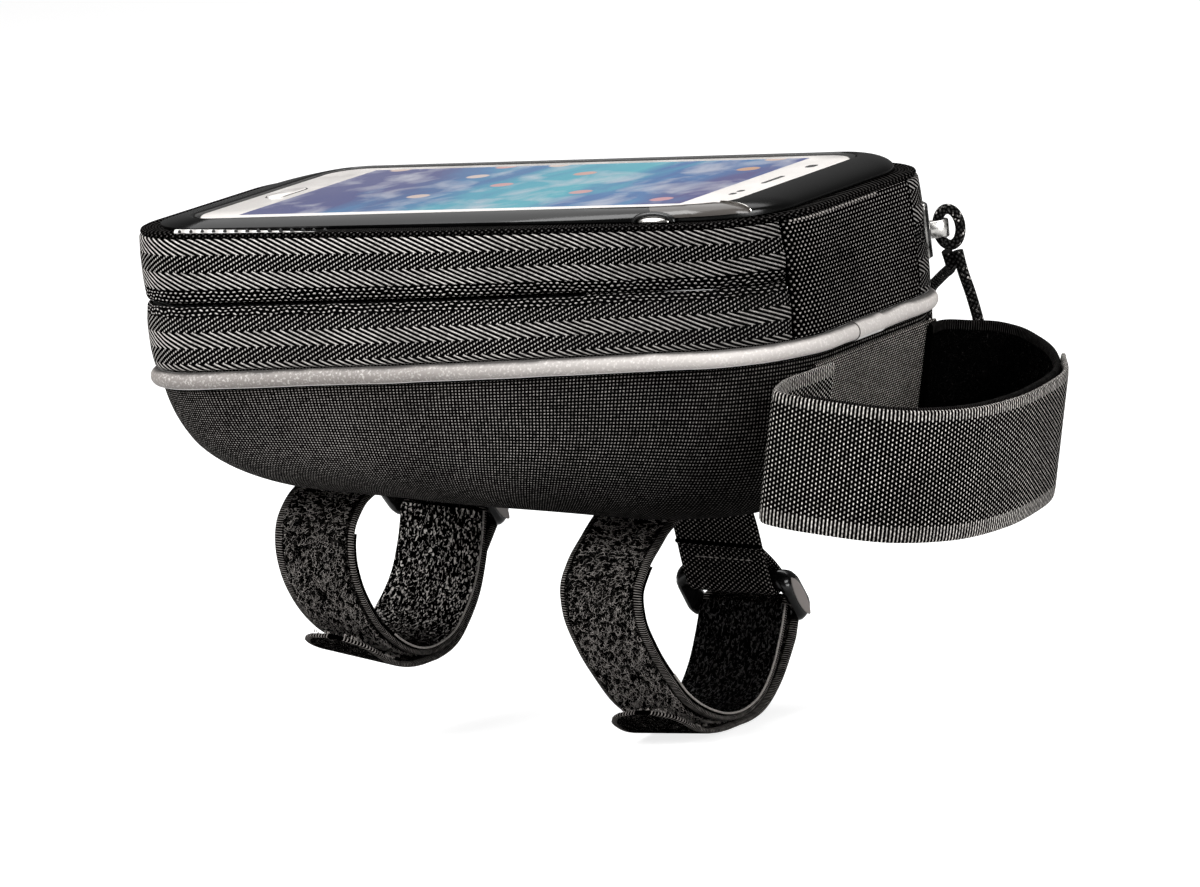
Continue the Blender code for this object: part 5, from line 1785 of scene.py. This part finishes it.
# %% Finishes of the stem strap
def hook_tape(name, width_mm, thread, ground):
    """Woven hook tape: ribs across it, and between its edges hooks in staggered rows."""
    rib_mm = 0.95
    hook_mm = 1.2
    finish, tree, shader = new_finish(name, roughness=0.6)
    along, around = map_mm(tree)
    ribs = wave(tree, along, rib_mm)
    row = add(tree, "FLOOR", add(tree, "MULTIPLY", along, 1 / rib_mm))
    odd = add(tree, "FLOORED_MODULO", row, 2.0)
    shifted = add(tree, "MULTIPLY_ADD", odd, hook_mm / 2, around)
    hooks = wave(tree, shifted, hook_mm)
    from_edge = strap_edges(tree, width_mm, rib_mm)[0]
    in_field = add(tree, "MapRange", from_edge, 3.0, 3.6, 0.35, 1.0)
    dots = add(tree, "MULTIPLY", ribs, add(tree, "MapRange", hooks, 0.0, 1.0, 0.35, 1.0))
    height = add(tree, "Mix", in_field, named={2: ribs, 3: dots.outputs[0]}, data_type="FLOAT")
    dye(tree, shader, height, ground, thread, uneven(tree, 1.0, 0.45, 1.3))
    emboss(tree, shader, height.outputs[0], 0.3)
    return finish


end_strap_height = 0.033
hook_finish = hook_tape("woven_hook_tape", end_strap_height * 1000, "#ece6e0", "#040404")
wide_pile_finish = loop_pile_tape("wide_loop_pile", end_strap_height * 1000, 3.5, "#2c2a29", "#020202")
patch_finish = plain_weave("ribbed_patch_webbing", 0.62, "#e0d9d2", "#1d1b1a", 0.2)

# %% [markdown]
# ## Bands of the stem strap
# The loop's points are shares of its reach and of half its width. A simulated ring of
# cloth would settle evenly, but the real loop keeps the kinks of its packing, so they are
# listed and smoothed. The pile band has its own far leg, then runs beside the hooks.

# %% Paths of the stem strap
anchor_width = 0.066
anchor_thickness = 0.0012
hook_thickness = 0.0015
pile_thickness = 0.0018
loop_reach = 0.0497
loop_span = 0.0535
loop_offset = -0.0095
end_tilt = math.atan(end_draft)
strap_up = Vector((math.sin(end_tilt), 0, math.cos(end_tilt)))
strap_out = Vector((math.cos(end_tilt), 0, -math.sin(end_tilt)))
strap_face = Vector((half_length - 0.0015, 0, ledge_z)) - strap_up * (0.007 + ledge_z) + strap_out * gap


def at_front(point, side):
    """A place by its distance from the front end and across it; side 1 is the upper edge."""
    out, across = point
    spot = strap_face + strap_out * out + Vector((0, across, 0))
    return world(*(spot - strap_up * end_strap_height * (1 - side)))


def on_loop(out, across, start=0.0):
    """A place on the stem loop, by its shares of the loop's reach and of its half width."""
    return start + out * loop_reach, loop_offset + across * loop_span


hook_start = anchor_thickness + gap + hook_thickness / 2
sewn_end = 0.006
hook_line = smooth_path([
    (hook_start, -anchor_width / 2 + sewn_end), (hook_start, -anchor_width / 2 - 0.08 * loop_span),
    on_loop(0.01, -0.86, hook_start), on_loop(0.07, -1.0, hook_start), on_loop(0.18, -1.01, hook_start),
    on_loop(0.40, -0.975), on_loop(0.70, -0.86), on_loop(0.90, -0.62), on_loop(1.00, -0.20),
    on_loop(0.985, 0.14), on_loop(0.93, 0.43), on_loop(0.78, 0.70)])
pile_start = anchor_thickness + gap + pile_thickness / 2
far_leg = [
    (pile_start, anchor_width / 2 - sewn_end),
    (pile_start + 0.015 * loop_reach, anchor_width / 2 + 0.02 * loop_span),
    on_loop(0.11, 0.90, pile_start), on_loop(0.22, 0.985, pile_start),
    on_loop(0.36, 0.985), on_loop(0.55, 0.88)]
beside_hook = offset_path(hook_line, lambda i: -((hook_thickness + pile_thickness) / 2 + 3 * gap))
shared = [p for p in beside_hook if p[0] > 0.2 * loop_reach and p[1] < loop_offset + loop_span * 0.42]
pile_line = smooth_path(far_leg + shared[::-8])

hook_band = band_skin("stem_hook_band", hook_line, hook_thickness, at_front, hook_finish)
belongs(hook_band, "base", "webbing", "stem_strap_hook")
pile_band = band_skin("stem_pile_band", pile_line, pile_thickness, at_front, wide_pile_finish)
belongs(pile_band, "base", "loop_pile", "stem_strap_pile")
patch_line = [(anchor_thickness / 2, anchor_width * (i / 20 - 0.5)) for i in range(21)]
patch = band_skin("stem_patch_webbing", patch_line, anchor_thickness, at_front, patch_finish)
belongs(patch, "base", "webbing", "stem_strap_patch")

# %% [markdown]
# ## Parts out of sight
# The zip's coils, its end stops, the seam bindings and the phone's sleeve keep their CAD
# solids. They show when the lid is open, so each gets its own finish.

# %% Finishes of the remaining solids
def nylon_coil():
    """Extruded nylon filament wound to a coil: close shiny turns."""
    finish, tree, shader = new_finish("wound_nylon_coil", "#0f0f0f", roughness=0.3)
    where = add(tree, "TexCoord").outputs["Object"]
    turns = add(tree, "TexWave", where, named={"Scale": 260.0}, bands_direction="DIAGONAL")
    emboss(tree, shader, turns.outputs[1], 0.3)
    return finish


coil_finish = nylon_coil()
binding_finish = plain_weave("seam_binding_tape", 0.9, "#4a4744", "#100f0f", 0.2)
hidden = {
    "lower_zip_coil": coil_finish, "upper_zip_coil": coil_finish, "free_coil_end": coil_finish,
    "zip_stop_far": lacquer, "zip_stop_near": lacquer,
    "gusset_binding_near": binding_finish, "gusset_binding_far": binding_finish,
    "phone_sleeve": lining_finish,
}
for node, finish in hidden.items():
    frame["nodes"][node].data.materials.clear()
    frame["nodes"][node].data.materials.append(finish)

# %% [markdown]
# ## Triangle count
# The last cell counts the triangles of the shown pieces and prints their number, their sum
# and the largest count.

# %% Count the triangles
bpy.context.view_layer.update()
triangles = {piece.name: sum(len(face.vertices) - 2 for face in piece.data.polygons)
             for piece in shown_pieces() if piece.type == "MESH"}
print("pieces:", len(triangles), "triangles:", sum(triangles.values()), "most:", max(triangles.values()))
